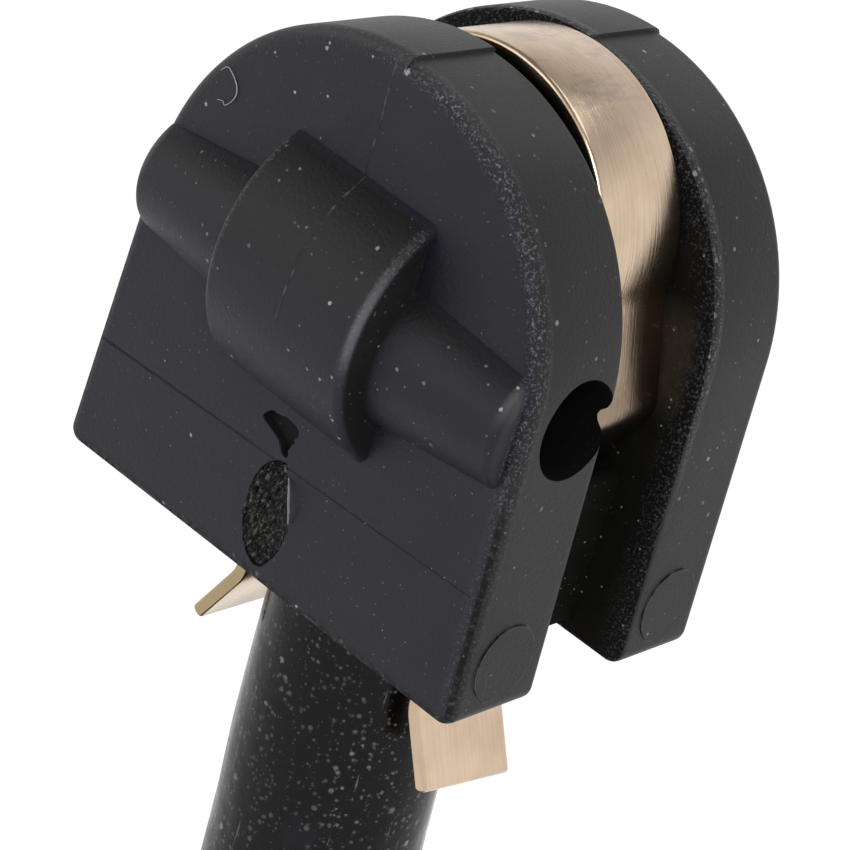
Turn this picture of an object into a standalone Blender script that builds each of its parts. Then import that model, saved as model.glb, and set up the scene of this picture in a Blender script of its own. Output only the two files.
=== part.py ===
# Brake pad wear sensor: a clip-in sensor head with its spring clip, its cable and its connector.
# The head stands upright: the arch is up, the cable leaves the bottom, and the face with the
# barrel looks along -Y. The origin is the arch centre, in the middle of the slot that takes the
# pad's backing plate. Sizes are millimetres and heights are measured from the head's bottom;
# both turn into metres from the origin where a mesh is made.

import math

import bpy
import bmesh
from mathutils import Vector

MM = 0.001
CUT_MARGIN = 1.0            # a cutting body reaches this far past an open end

# Head: two arched cheeks on a narrower web
CHEEK_WIDTH = 16.0          # across the bottom
FRONT_THICK = 3.55          # cheeks along Y, level with the arch centre
REAR_THICK = 3.3
CHEEK_OFFSET = -0.45        # cheeks' middle plane from the web's, along X
SLOT_WIDTH = 3.9            # between the cheeks, takes the backing plate
SLOT_DRAFT = 0.005          # each side of the slot leans out by this share of the height
ARCH_RADIUS = 7.43          # round top of a cheek
ARCH_CENTRE = 8.76          # its centre above the bottom
PARTING_X = 0.3             # where the mould halves meet, from the cheeks' middle
MOULD_STEP = 0.12           # the arch of the -X half sits this much higher
CORNER_RADIUS = 0.5         # bottom corners, seen from the front
RIM_RADIUS = 0.4            # rounding of the outer rims
SLOT_RIM_RADIUS = 0.25      # rounding of the rims along the slot

# Barrel, ridges and wire bore on the front cheek
BARREL_PROUD = 2.1          # in front of the cheek
BARREL_HALF_LENGTH = 2.75
BARREL_LIFT = 0.25          # its axis above the bore's
BARREL_SHIFT = 0.05         # along X from the cheeks' middle
BARREL_RIM = 0.3
BORE_DEPTH = 2.12           # axis of bore and barrel behind the front face
BORE_DIAMETER = 2.9
RIDGE_DEPTH = 1.1           # axis of the ridges behind the front face
RIDGE_ROOT_RADIUS = 2.35
RIDGE_TIP_RADIUS = 1.95
RIDGE_MARGIN = 0.9          # a ridge ends this far short of the cheek's corner
RIDGE_RIM = 0.25
ROOT_SINK = 1.2             # how deep barrel and ridges reach into the cheek

# Web: core under the strip's arch and a block below each foot
BLOCK_WALL = 1.35           # outside a leg's channel
BLOCK_SHOULDER = 0.3
BLOCK_LAND = 0.1            # flat top of a block, inside its round shoulder
BLOCK_LIFT = 0.5            # blocks end this far above the cheeks' bottom
CORE_LIFT = 0.1             # core ends this far above the socket's ceiling
WEB_SINK = 0.4              # web reaches into each cheek

# Spring clip: one bent strip over the web
STRIP_WIDTH = 3.35
STRIP_THICK = 0.45
STRIP_RADIUS = 5.0          # outside of its arch, which ends level with the cheeks' tops
STRIP_RIM = 0.1
STRIP_NECK_DROP = 0.3       # from the arch's springing to where a leg leans out
STRIP_NECK_RADIUS = 1.5
STRIP_LEAN = 1.0            # how far a foot stands outside the arch
STRIP_FOOT_HEIGHT = 7.8     # where a leg turns into the web
STRIP_FOOT_RADIUS = 0.7
STRIP_KNEE_HEIGHT = 3.6     # where it turns straight down
STRIP_KNEE_RADIUS = 1.6
TAIL_DROP = 2.9             # straight part below the head
TAIL_RADIUS = 1.2
TAIL_FLARE = math.radians(29.0)
TAIL_LENGTH = 2.5

# Cable end, potting, leads, crimps and sense loop inside the head
CABLE_DIAMETER = 6.6
CABLE_INSERTION = 3.2
CABLE_POINT_SPACING = 8.0
SOCKET_DEPTH = 5.0
POTTING_THICK = 1.3
LEAD_DIAMETER = 1.5
LEAD_SPACING = 2.3
STRAND_DIAMETER = 0.7
CRIMP_DIAMETER = 1.9
CRIMP_WALL = 0.35
CRIMP_LENGTH = 2.4
CRIMP_OVERLAP = 0.8         # stripped wire inside each end of a crimp
LOOP_DIAMETER = 0.9
LOOP_STRAND = 0.6
LOOP_REACH = 0.2            # the loop's bend lies this far in front of the bore's axis
LOOP_SHAPE = ((1.0, 0.05, 0.28), (1.0, 0.25, 0.94), (1.0, 0.6, 1.0), (0.75, 0.9, 1.0))  # by eye
LOOP_POINT_SPACING = 0.35
LOOP_SHOULDER = 0.05        # its covering starts within this length
WINDOW_HALF_HEIGHT = 0.9    # opening between lead pocket and bore
WINDOW_HALF_WIDTH = 1.9
POCKET_HEADROOM = 0.4       # lead pocket ends this far above the opening
WINDOW_CORNER = 0.3
POCKET_OVERLAP = 0.1        # lead pocket starts this far inside the socket
POCKET_CORNER_SHARE = 0.98  # of the pocket's half depth is its corner radius

FIT_GAP = 0.25              # left between pieces that touch on the real part
STRIP_CABLE_GAP = 0.2

# Cable route from the head to the coil, chosen by eye: x, y, height
CABLE_ROUTE = (
    (0.0, 0.0, 3.2), (0.0, 0.1, -2.0), (0.35, 0.2, -7.0), (0.8, 0.2, -13.0), (1.5, -0.4, -20.0),
    (3.3, -2.4, -29.0), (7.0, -5.6, -39.0), (13.7, -9.6, -51.8),
)

# Coil of spare cable, hanging under the head
COIL_DIAMETER = 71.5        # at the middle of the turns
COIL_PITCH = 6.7            # turns lie side by side
COIL_TURNS = 3.1
COIL_CENTRE_X = -9.0
COIL_CENTRE_HEIGHT = -80.0
COIL_START = math.radians(36.0)
COIL_SKIN = 0.2             # envelope round the turns
COIL_LAND = 0.1             # flat left between its round corners, each way from the middle
TIE_WIDTH = 4.0
TIE_THICK = 1.1
TIE_HEAD = 5.0
TIE_HEAD_CORNER = 0.8
TIE_CORNER_CUT = 0.5        # its inner corners are this much tighter than the coil's
TIE_ANGLES = {"coil_tie_upper": math.radians(140.0), "coil_tie_lower": math.radians(250.0)}

# Connector, hanging straight down at the cable's end; lengths run down from the boot's top
TAIL_ROUTE_DROPS = ((0.0, 0.0, 8.0), (-0.9, -0.8, 20.0), (-1.5, -1.6, 32.0), (-1.6, -1.9, 42.0))
BOOT_DROP = 46.0            # from the end of the coil's turns to the boot
BOOT_LENGTH = 21.0
BOOT_TIP_WALL = 0.8
BOOT_ROOT_WALL = 1.3
BOOT_COLLAR = 3.0
BOOT_COLLAR_STEP = 0.4      # collar stands proud of the taper
SPIGOT_DIAMETER = 8.4
SPIGOT_WALL = 1.0
SPIGOT_LENGTH = 6.0
JACKET_MARGIN = 1.0         # jacket ends this far above the spigot
HOUSING_WIDTH = 17.0
HOUSING_DEPTH = 12.4
HOUSING_LENGTH = 25.0
HOUSING_CORNER = 2.8
HOUSING_LEAST_CORNER = 0.8  # of the outlines inside it
HOUSING_RIM = 0.5
SHROUD_WALL = 1.3
SHROUD_DEPTH = 9.5
TOWER_GAP = 1.5             # groove between shroud and tower
TOWER_RECESS = 0.8          # tower ends behind the shroud's rim
FACE_SEAL_HEIGHT = 2.4
WIRE_SEAL_LENGTH = 5.2
WIRE_SEAL_GROOVE = 0.35
WIRE_SEAL_RIBS = 3
SEAL_FLOOR = 1.2            # seal bore reaches this far into the housing's body
TERMINAL_DIAMETER = 2.0
TERMINAL_BORE = 1.0
TERMINAL_LENGTH = 13.0
TERMINAL_SPACING = 3.0
TERMINAL_RECESS = 2.5       # behind the tower's end
TERMINAL_SOCKET_SHARE = 0.6 # of a terminal's length is bored
LATCH_WIDTH = 6.4
LATCH_THICK = 1.3
LATCH_STANDOFF = 1.4
LATCH_LENGTH = 17.0
LATCH_ROOT = 3.0
LATCH_THUMB = 0.7           # thumb rest above the arm
LATCH_THUMB_LENGTH = 1.4
LATCH_CHAMFER = 0.6
LATCH_LIFT = 1.5            # arm starts this far above the housing's open end
ROOT_OVERLAP = 0.3          # latch and spigot reach this far into the housing
LOCK_WIDTH = 9.0
LOCK_HEIGHT = 2.6
LOCK_DEPTH = 2.2
LOCK_DROP = 9.0             # below the boot's root
LOCK_CORNER = 0.5

ARC_STEP = math.radians(6.0)
SHARP_ANGLE = math.radians(32.0)
CURVE_STEPS = 24            # along each part of a smooth curve, before it is spaced evenly

# Worked out from the sizes above
FRONT_Y = -SLOT_WIDTH / 2 - FRONT_THICK
BORE_Y = FRONT_Y + BORE_DEPTH
CABLE_RADIUS = CABLE_DIAMETER / 2
STRIP_CENTRE = ARCH_CENTRE + ARCH_RADIUS - STRIP_RADIUS
STRIP_PATH_RADIUS = STRIP_RADIUS - STRIP_THICK / 2
FOOT_X = STRIP_PATH_RADIUS + STRIP_LEAN
TAIL_X = CABLE_RADIUS + STRIP_CABLE_GAP + STRIP_THICK / 2
CHANNEL_HALF = STRIP_THICK / 2 + FIT_GAP
CRIMP_BOTTOM = SOCKET_DEPTH + FIT_GAP
CRIMP_TOP = CRIMP_BOTTOM + CRIMP_LENGTH
POCKET_TOP = ARCH_CENTRE + WINDOW_HALF_HEIGHT + POCKET_HEADROOM
COIL_RADIUS = COIL_DIAMETER / 2
COIL_HALF_WIDTH = COIL_PITCH * COIL_TURNS / 2
COIL_HALF_SECTION = CABLE_RADIUS + COIL_SKIN


def clear_scene():
    """Empty the file of its objects."""
    for obj in list(bpy.data.objects):
        bpy.data.objects.remove(obj, do_unlink=True)


def make_material(name, colour, roughness, metallic=0.0):
    """A plain Principled material."""
    mat = bpy.data.materials.new(name)
    mat.use_nodes = True
    shader = mat.node_tree.nodes["Principled BSDF"]
    shader.inputs["Base Color"].default_value = (*colour, 1.0)
    shader.inputs["Roughness"].default_value = roughness
    shader.inputs["Metallic"].default_value = metallic
    return mat


def place(x, y, height):
    """Millimetres from the head's bottom to metres from the origin."""
    return Vector((x, y, height - ARCH_CENTRE)) * MM


def along_x(x, outline):
    return [place(CHEEK_OFFSET + x, y, height) for y, height in outline]


def along_y(y, outline):
    return [place(x, y, height) for x, height in outline]


def along_z(height, outline, centre=(0.0, 0.0)):
    return [place(centre[0] + x, centre[1] + y, height) for x, y in outline]


def loft(name, rings, mat):
    """A closed body through rings of points, with a flat face on each end."""
    bm = bmesh.new()
    loops = [[bm.verts.new(point) for point in ring] for ring in rings]
    count = len(loops[0])
    for lower, upper in zip(loops, loops[1:]):
        for i in range(count):
            j = (i + 1) % count
            bm.faces.new((lower[i], lower[j], upper[j], upper[i]))
    bm.faces.new(list(reversed(loops[0])))
    bm.faces.new(loops[-1])
    return finish_mesh(name, bm, mat)


def hollow_loft(name, rings, mat):
    """A closed body through rings of points whose last ring joins its first, like a tyre."""
    bm = bmesh.new()
    loops = [[bm.verts.new(point) for point in ring] for ring in rings]
    count = len(loops[0])
    for k, lower in enumerate(loops):
        upper = loops[(k + 1) % len(loops)]
        for i in range(count):
            j = (i + 1) % count
            bm.faces.new((lower[i], lower[j], upper[j], upper[i]))
    return finish_mesh(name, bm, mat)


def finish_mesh(name, bm, mat):
    """Make an object of a bmesh, smooth on its curves and sharp at its edges."""
    bmesh.ops.recalc_face_normals(bm, faces=bm.faces)
    if bm.calc_volume(signed=True) < 0:
        bmesh.ops.reverse_faces(bm, faces=bm.faces)
    mesh = bpy.data.meshes.new(name)
    bm.to_mesh(mesh)
    bm.free()
    mesh.materials.append(mat)
    mesh.shade_smooth()
    mesh.set_sharp_from_angle(angle=SHARP_ANGLE)
    obj = bpy.data.objects.new(name, mesh)
    bpy.context.collection.objects.link(obj)
    return obj


def combine(target, tools, operation):
    """Join tools to the target or cut them from it, and drop them."""
    for tool in tools:
        modifier = target.modifiers.new(operation, "BOOLEAN")
        modifier.operation = operation
        modifier.solver = "EXACT"
        modifier.object = tool
        depsgraph = bpy.context.evaluated_depsgraph_get()
        mesh = bpy.data.meshes.new_from_object(target.evaluated_get(depsgraph))
        target.modifiers.clear()
        target.data = mesh
        bpy.data.objects.remove(tool, do_unlink=True)
    target.data.shade_smooth()
    target.data.set_sharp_from_angle(angle=SHARP_ANGLE)


def rim_steps(start, end, start_radius, end_radius, segments=3):
    """Places along an extrusion and the outline's inset there, so that its rims are round."""
    angles = [math.pi / 2 * k / segments for k in range(segments + 1)]
    first = [(start + start_radius * (1 - math.cos(a)), start_radius * (1 - math.sin(a))) for a in angles]
    last = [(end - end_radius * (1 - math.cos(a)), end_radius * (1 - math.sin(a))) for a in reversed(angles)]
    return (first if start_radius else first[:1]) + (last if end_radius else last[:1])


def arc(centre, radius, start, end, step=ARC_STEP):
    """Points of an arc from one angle to another."""
    count = max(2, math.ceil(abs(end - start) / step))
    angles = [start + (end - start) * k / count for k in range(count + 1)]
    return [(centre[0] + radius * math.cos(a), centre[1] + radius * math.sin(a)) for a in angles]


def circle(radius, count=32):
    angles = [2 * math.pi * k / count for k in range(count)]
    return [(radius * math.cos(a), radius * math.sin(a)) for a in angles]


def rounded_rectangle(half_width, half_depth, corner, step=math.radians(15.0)):
    """Corner arcs of a rectangle, anticlockwise."""
    points = []
    for quarter, (sx, sy) in enumerate(((1, 1), (-1, 1), (-1, -1), (1, -1))):
        centre = (sx * (half_width - corner), sy * (half_depth - corner))
        points += arc(centre, corner, math.pi / 2 * quarter, math.pi / 2 * (quarter + 1), step)
    return points


def half_cheek(centre_height, parting, inset):
    """One side of a cheek's outline: bottom corner, leaning side, and arch up to the parting plane.

    The side is the common tangent of the corner's circle and the arch's circle.
    """
    corner = (CHEEK_WIDTH / 2 - CORNER_RADIUS, CORNER_RADIUS)
    up = centre_height - corner[1]
    reach = math.hypot(corner[0], up)
    side = math.atan2(up, -corner[0]) - math.acos((CORNER_RADIUS - ARCH_RADIUS) / reach)
    points = arc(corner, CORNER_RADIUS - inset, -math.pi / 2, side, math.radians(22.5))
    radius = ARCH_RADIUS - inset
    return points + arc((0.0, centre_height), radius, side, math.acos(parting / radius))


def cheek_outline(inset):
    right = half_cheek(ARCH_CENTRE, PARTING_X, inset)
    left = half_cheek(ARCH_CENTRE + MOULD_STEP, -PARTING_X, inset)
    outline = right + [(-x, height) for x, height in left[::-1]]
    return [(x + CHEEK_OFFSET, height) for x, height in outline]


def make_cheek(name, side, thick, mat):
    """A cheek on the -Y or +Y side, whose slot face leans with the draft."""
    outside = SLOT_WIDTH / 2 + thick
    rings = []
    for y, inset in rim_steps(SLOT_WIDTH / 2, outside, SLOT_RIM_RADIUS, RIM_RADIUS):
        lean = SLOT_DRAFT * (outside - y) / thick
        outline = cheek_outline(inset)
        rings.append([place(x, side * (y + lean * (h - ARCH_CENTRE)), h) for x, h in outline])
    return loft(name, rings, mat)


def d_section(axis, radius, back):
    """Round front of a barrel or ridge, closed by a flat back inside the cheek: y, height."""
    half = math.acos((back - axis[0]) / radius)
    return arc(axis, radius, half, 2 * math.pi - half)


def make_barrel(mat):
    steps = rim_steps(-BARREL_HALF_LENGTH, BARREL_HALF_LENGTH, BARREL_RIM, BARREL_RIM)
    radius = BORE_DEPTH + BARREL_PROUD
    axis = (BORE_Y, ARCH_CENTRE + BARREL_LIFT)
    back = FRONT_Y + ROOT_SINK
    rings = [along_x(BARREL_SHIFT + x, d_section(axis, radius - inset, back)) for x, inset in steps]
    return loft("barrel", rings, mat)


def make_ridges(mat):
    """Both ridges: one bar through the barrel that tapers towards the cheek's sides."""
    tip = CHEEK_WIDTH / 2 - RIDGE_MARGIN
    taper = (RIDGE_ROOT_RADIUS - RIDGE_TIP_RADIUS) / (tip - BARREL_HALF_LENGTH)
    steps = rim_steps(-tip, tip, RIDGE_RIM, RIDGE_RIM)
    middle = len(steps) // 2
    steps[middle:middle] = [(-BARREL_HALF_LENGTH, 0.0), (BARREL_HALF_LENGTH, 0.0)]
    axis = (FRONT_Y + RIDGE_DEPTH, ARCH_CENTRE)
    back = FRONT_Y + ROOT_SINK / 2
    rings = []
    for x, inset in steps:
        radius = RIDGE_ROOT_RADIUS - taper * (abs(x) - BARREL_HALF_LENGTH) - inset
        rings.append(along_x(x, d_section(axis, radius, back)))
    return loft("ridges", rings, mat)


def channel_line(offset, height):
    """x of a line beside the slanted part of a leg, at a height. A positive offset is outside."""
    run = FOOT_X - TAIL_X
    rise = STRIP_FOOT_HEIGHT - STRIP_KNEE_HEIGHT
    return TAIL_X + (height - STRIP_KNEE_HEIGHT) * run / rise + offset * math.hypot(run, rise) / rise


def channel_height(offset, x):
    """Height at which that line reaches an x."""
    base = channel_line(offset, STRIP_KNEE_HEIGHT)
    slope = channel_line(offset, STRIP_KNEE_HEIGHT + 1.0) - base
    return STRIP_KNEE_HEIGHT + (x - base) / slope


def make_web_core(mat):
    """Middle of the web, inside the strip's arch and between its legs."""
    side = STRIP_RADIUS - STRIP_THICK - FIT_GAP
    foot = SOCKET_DEPTH + CORE_LIFT
    half = [(channel_line(-CHANNEL_HALF, foot), foot)]
    half.append((side, channel_height(-CHANNEL_HALF, side)))
    half += arc((0.0, STRIP_CENTRE), side, 0.0, math.pi / 2)
    outline = half + [(-x, height) for x, height in half[-2::-1]]
    reach = SLOT_WIDTH / 2 + WEB_SINK
    return loft("web_core", [along_y(y, outline) for y in (-reach, reach)], mat)


def make_web_block(side, mat):
    """Block of the web outside a leg's lower part."""
    inner = TAIL_X + CHANNEL_HALF
    outer = inner + BLOCK_WALL
    land = outer - BLOCK_SHOULDER - BLOCK_LAND
    top = channel_height(CHANNEL_HALF, land)
    outline = [(inner, BLOCK_LIFT), (outer, BLOCK_LIFT)]
    shoulder = (outer - BLOCK_SHOULDER, top - BLOCK_SHOULDER)
    outline += arc(shoulder, BLOCK_SHOULDER, 0.0, math.pi / 2, math.radians(22.5))
    outline.append((land, top))
    outline.append((inner, channel_height(CHANNEL_HALF, inner)))
    outline = [(side * x, height) for x, height in outline]
    reach = SLOT_WIDTH / 2 + WEB_SINK
    return loft("web_block", [along_y(y, outline) for y in (-reach, reach)], mat)


def make_rod(name, outline, heights, mat, centre=(0.0, 0.0)):
    """A straight rod along Z."""
    return loft(name, [along_z(height, outline, centre) for height in heights], mat)


def make_head(mat):
    """Head moulding: cheeks, web, barrel and ridges in one piece, with bore, socket and pocket."""
    head = make_cheek("head_body", -1, FRONT_THICK, mat)
    solids = [make_cheek("rear_cheek", 1, REAR_THICK, mat), make_web_core(mat), make_barrel(mat), make_ridges(mat)]
    solids += [make_web_block(side, mat) for side in (1, -1)]
    combine(head, solids, "UNION")

    bore = [(BORE_Y + y, ARCH_CENTRE + z) for y, z in circle(BORE_DIAMETER / 2, 40)]
    bore_cut = loft("bore_cut", [along_x(x, bore) for x in (-CHEEK_WIDTH, CHEEK_WIDTH)], mat)
    socket_cut = make_rod("socket_cut", circle(CABLE_RADIUS + FIT_GAP, 48), (-CUT_MARGIN, SOCKET_DEPTH), mat)
    pocket_depth = CRIMP_DIAMETER / 2 + FIT_GAP
    pocket_width = LEAD_SPACING / 2 + pocket_depth
    pocket = rounded_rectangle(pocket_width, pocket_depth, pocket_depth * POCKET_CORNER_SHARE)
    pocket_cut = make_rod("pocket_cut", pocket, (SOCKET_DEPTH - POCKET_OVERLAP, POCKET_TOP), mat)
    window_depth = -BORE_Y / 2
    window = rounded_rectangle(WINDOW_HALF_WIDTH, window_depth, WINDOW_CORNER)
    heights = (ARCH_CENTRE - WINDOW_HALF_HEIGHT, ARCH_CENTRE + WINDOW_HALF_HEIGHT)
    window_cut = make_rod("window_cut", window, heights, mat, (0.0, BORE_Y / 2))
    combine(head, [bore_cut, socket_cut, pocket_cut, window_cut], "DIFFERENCE")
    return head


def rounded_path(corners):
    """Straight runs with round corners. Each corner is x, height, radius."""
    points = [corners[0][:2]]
    for before, here, after in zip(corners, corners[1:], corners[2:]):
        a = Vector(before[:2]) - Vector(here[:2])
        b = Vector(after[:2]) - Vector(here[:2])
        a.normalize()
        b.normalize()
        half = a.angle(b) / 2
        centre = Vector(here[:2]) + (a + b).normalized() * here[2] / math.sin(half)
        first = Vector(here[:2]) + a * here[2] / math.tan(half) - centre
        last = Vector(here[:2]) + b * here[2] / math.tan(half) - centre
        turn = math.atan2(first.x * last.y - first.y * last.x, first.dot(last))
        start = math.atan2(first.y, first.x)
        points += arc(centre, here[2], start, start + turn)
    return points + [corners[-1][:2]]


def strip_path():
    """Middle line of the strip, from the tip of the left tail over the arch to the right one."""
    tip_x = TAIL_X + TAIL_LENGTH * math.sin(TAIL_FLARE)
    tip_height = -TAIL_DROP - TAIL_LENGTH * math.cos(TAIL_FLARE)
    leg = rounded_path((
        (STRIP_PATH_RADIUS, STRIP_CENTRE, 0.0),
        (STRIP_PATH_RADIUS, STRIP_CENTRE - STRIP_NECK_DROP, STRIP_NECK_RADIUS),
        (FOOT_X, STRIP_FOOT_HEIGHT, STRIP_FOOT_RADIUS),
        (TAIL_X, STRIP_KNEE_HEIGHT, STRIP_KNEE_RADIUS),
        (TAIL_X, -TAIL_DROP, TAIL_RADIUS),
        (tip_x, tip_height, 0.0),
    ))
    right = arc((0.0, STRIP_CENTRE), STRIP_PATH_RADIUS, math.pi / 2, 0.0) + leg[1:]
    return [(-x, height) for x, height in right[:0:-1]] + right


def strip_outline(inset):
    """Both faces of the strip, closed round its ends."""
    path = [Vector(point) for point in strip_path()]
    path[0] += (path[1] - path[0]).normalized() * inset
    path[-1] += (path[-2] - path[-1]).normalized() * inset
    outer, inner = [], []
    for k, point in enumerate(path):
        direction = path[min(k + 1, len(path) - 1)] - path[max(k - 1, 0)]
        normal = Vector((-direction.y, direction.x)).normalized() * (STRIP_THICK / 2 - inset)
        outer.append(tuple(point + normal))
        inner.append(tuple(point - normal))
    return outer + inner[::-1]


def make_strip(mat):
    steps = rim_steps(-STRIP_WIDTH / 2, STRIP_WIDTH / 2, STRIP_RIM, STRIP_RIM, 2)
    return loft("spring_clip", [along_y(y, strip_outline(inset)) for y, inset in steps], mat)


def make_potting(mat):
    """Potting on the cable's end, with a hole for each lead."""
    bottom = CABLE_INSERTION + FIT_GAP
    heights = (bottom, bottom + POTTING_THICK)
    potting = make_rod("potting", circle(CABLE_RADIUS, 40), heights, mat)
    cuts = []
    for side in (1, -1):
        hole = circle(LEAD_DIAMETER / 2 + FIT_GAP, 20)
        cut_heights = (bottom - CUT_MARGIN, bottom + POTTING_THICK + CUT_MARGIN)
        cuts.append(make_rod("lead_hole", hole, cut_heights, mat, (side * LEAD_SPACING / 2, 0.0)))
    combine(potting, cuts, "DIFFERENCE")
    return potting


def make_stepped_wire(name, centre, bottom, shoulder, top, diameter, strand, mat):
    """A straight wire along Z whose insulation ends at the shoulder."""
    rings = [along_z(bottom, circle(diameter / 2, 16), centre)]
    rings.append(along_z(shoulder, circle(diameter / 2, 16), centre))
    rings.append(along_z(shoulder, circle(strand / 2, 16), centre))
    rings.append(along_z(top, circle(strand / 2, 16), centre))
    return loft(name, rings, mat)


def make_tube(name, centre, bottom, top, outer, inner, mat, segments=24):
    """A straight tube along Z."""
    rings = []
    for radius, height in ((outer, bottom), (outer, top), (inner, top), (inner, bottom)):
        rings.append(along_z(height, circle(radius, segments), centre))
    return hollow_loft(name, rings, mat)


def make_head_leads(red, black, metal):
    """Two leads from the cable's end into their crimps."""
    for side, label, mat in ((-1, "left", red), (1, "right", black)):
        centre = (side * LEAD_SPACING / 2, 0.0)
        bottom = CABLE_INSERTION + FIT_GAP
        top = CRIMP_BOTTOM + CRIMP_OVERLAP
        shoulder = CRIMP_BOTTOM - FIT_GAP
        make_stepped_wire(f"lead_{label}", centre, bottom, shoulder, top, LEAD_DIAMETER, STRAND_DIAMETER, mat)
        outer = CRIMP_DIAMETER / 2
        make_tube(f"crimp_{label}", centre, CRIMP_BOTTOM, CRIMP_TOP, outer, outer - CRIMP_WALL, metal)


def smooth_route(points, spacing):
    """Evenly spaced points on a smooth curve through the given ones."""
    ends = [points[0] * 2 - points[1], *points, points[-1] * 2 - points[-2]]
    fine = []
    for a, b, c, d in zip(ends, ends[1:], ends[2:], ends[3:]):
        for k in range(CURVE_STEPS):
            t = k / CURVE_STEPS
            curve = b * 2 + (c - a) * t + (a * 2 - b * 5 + c * 4 - d) * t ** 2 + (b * 3 - a - c * 3 + d) * t ** 3
            fine.append(curve / 2)
    fine.append(points[-1])
    lengths = [0.0]
    for a, b in zip(fine, fine[1:]):
        lengths.append(lengths[-1] + (b - a).length)
    count = max(2, round(lengths[-1] / spacing))
    route, k = [], 0
    for i in range(count + 1):
        goal = lengths[-1] * i / count
        while k < len(fine) - 2 and lengths[k + 1] < goal:
            k += 1
        share = (goal - lengths[k]) / (lengths[k + 1] - lengths[k])
        route.append(fine[k].lerp(fine[k + 1], share))
    return route


def make_round_curve(name, points, diameter, mat, sides_resolution, radii=None):
    """A round tube along points given in millimetres."""
    curve = bpy.data.curves.new(name, "CURVE")
    curve.dimensions = "3D"
    curve.bevel_depth = diameter / 2 * MM
    curve.bevel_resolution = sides_resolution
    curve.use_fill_caps = True
    spline = curve.splines.new("POLY")
    spline.points.add(len(points) - 1)
    for k, point in enumerate(points):
        spline.points[k].co = (*place(*point), 1.0)
        spline.points[k].radius = radii[k] if radii else 1.0
    curve.materials.append(mat)
    obj = bpy.data.objects.new(name, curve)
    bpy.context.collection.objects.link(obj)
    return obj


def make_sense_loop(mat):
    """Thin wire from crimp to crimp, bent through the bore in the barrel."""
    half_spacing = LEAD_SPACING / 2
    foot = CRIMP_TOP + FIT_GAP
    bend = BORE_Y - LOOP_REACH
    rise = ARCH_CENTRE - foot
    half = [Vector((half_spacing, 0.0, foot))]
    half += [Vector((half_spacing * u, bend * v, foot + rise * w)) for u, v, w in LOOP_SHAPE]
    mirrored = [Vector((-p.x, p.y, p.z)) for p in half[::-1]]
    wire = smooth_route(half + [Vector((0.0, bend, ARCH_CENTRE))] + mirrored, LOOP_POINT_SPACING)
    tip = CRIMP_TOP - CRIMP_OVERLAP
    start = [Vector((half_spacing, 0.0, tip)), Vector((half_spacing, 0.0, foot - LOOP_SHOULDER))]
    end = [Vector((-p.x, p.y, p.z)) for p in start[::-1]]
    strand = LOOP_STRAND / LOOP_DIAMETER
    radii = [strand] * 2 + [1.0] * len(wire) + [strand] * 2
    return make_round_curve("sense_loop", start + wire + end, LOOP_DIAMETER, mat, 2, radii)


def coil_angle(turns):
    """The turns run clockwise, seen from the front."""
    return COIL_START - 2 * math.pi * turns


def coil_point(turns):
    """Middle of the cable in the coil, a number of turns from its start."""
    angle = coil_angle(turns)
    x = COIL_CENTRE_X + COIL_RADIUS * math.cos(angle)
    height = COIL_CENTRE_HEIGHT + COIL_RADIUS * math.sin(angle)
    return Vector((x, COIL_PITCH * turns - COIL_HALF_WIDTH, height))


def clear_of_coil(point, ahead):
    """True where a tube through these points stays outside the coil's envelope."""
    out = Vector((point.x - COIL_CENTRE_X, 0.0, point.z - COIL_CENTRE_HEIGHT))
    side = CABLE_RADIUS * math.sin(out.angle(ahead - point))
    return out.length - side > COIL_RADIUS + COIL_HALF_SECTION + FIT_GAP


def route_outside_coil(route):
    """Evenly spaced points on a smooth route, up to where it meets the coil's envelope."""
    step = CABLE_DIAMETER / 20
    fine = smooth_route(route, step)
    kept = [point for point, ahead in zip(fine, fine[1:]) if clear_of_coil(point, ahead)]
    count = round(len(kept) * step / CABLE_POINT_SPACING)
    return [kept[round((len(kept) - 1) * k / count)] for k in range(count + 1)]


def make_cable(mat):
    """Cable from the socket to the coil, plain and without its hidden turns."""
    route = [Vector(point) for point in CABLE_ROUTE] + [coil_point(0.0)]
    return make_round_curve("cable", route_outside_coil(route), CABLE_DIAMETER, mat, 4)


def connector_axis():
    """x and y of the connector's middle line and the height of the boot's top."""
    start = coil_point(COIL_TURNS)
    drop = TAIL_ROUTE_DROPS[-1]
    return start.x + drop[0], start.y + drop[1], start.z - BOOT_DROP


def make_cable_end(mat):
    """Cable from the coil down into the connector's boot."""
    start = coil_point(COIL_TURNS)
    x, y, top = connector_axis()
    route = [start] + [start + Vector((dx, dy, -drop)) for dx, dy, drop in TAIL_ROUTE_DROPS]
    jacket_end = top - (BOOT_LENGTH - SPIGOT_LENGTH - JACKET_MARGIN)
    route += [Vector((x, y, top)), Vector((x, y, jacket_end))]
    return make_round_curve("cable_end", route_outside_coil(route), CABLE_DIAMETER, mat, 4)


def make_coil(mat):
    """Outer shape of the coiled cable, a turned ring."""
    half_width = COIL_HALF_WIDTH + COIL_HALF_SECTION
    section = rounded_rectangle(COIL_HALF_SECTION, half_width, COIL_HALF_SECTION - COIL_LAND, math.radians(30.0))
    rings = []
    for x, z in circle(1.0, 60):
        ring = []
        for across, y in section:
            reach = COIL_RADIUS + across
            ring.append(place(COIL_CENTRE_X + reach * x, y, COIL_CENTRE_HEIGHT + reach * z))
        rings.append(ring)
    return hollow_loft("cable_coil", rings, mat)


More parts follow.
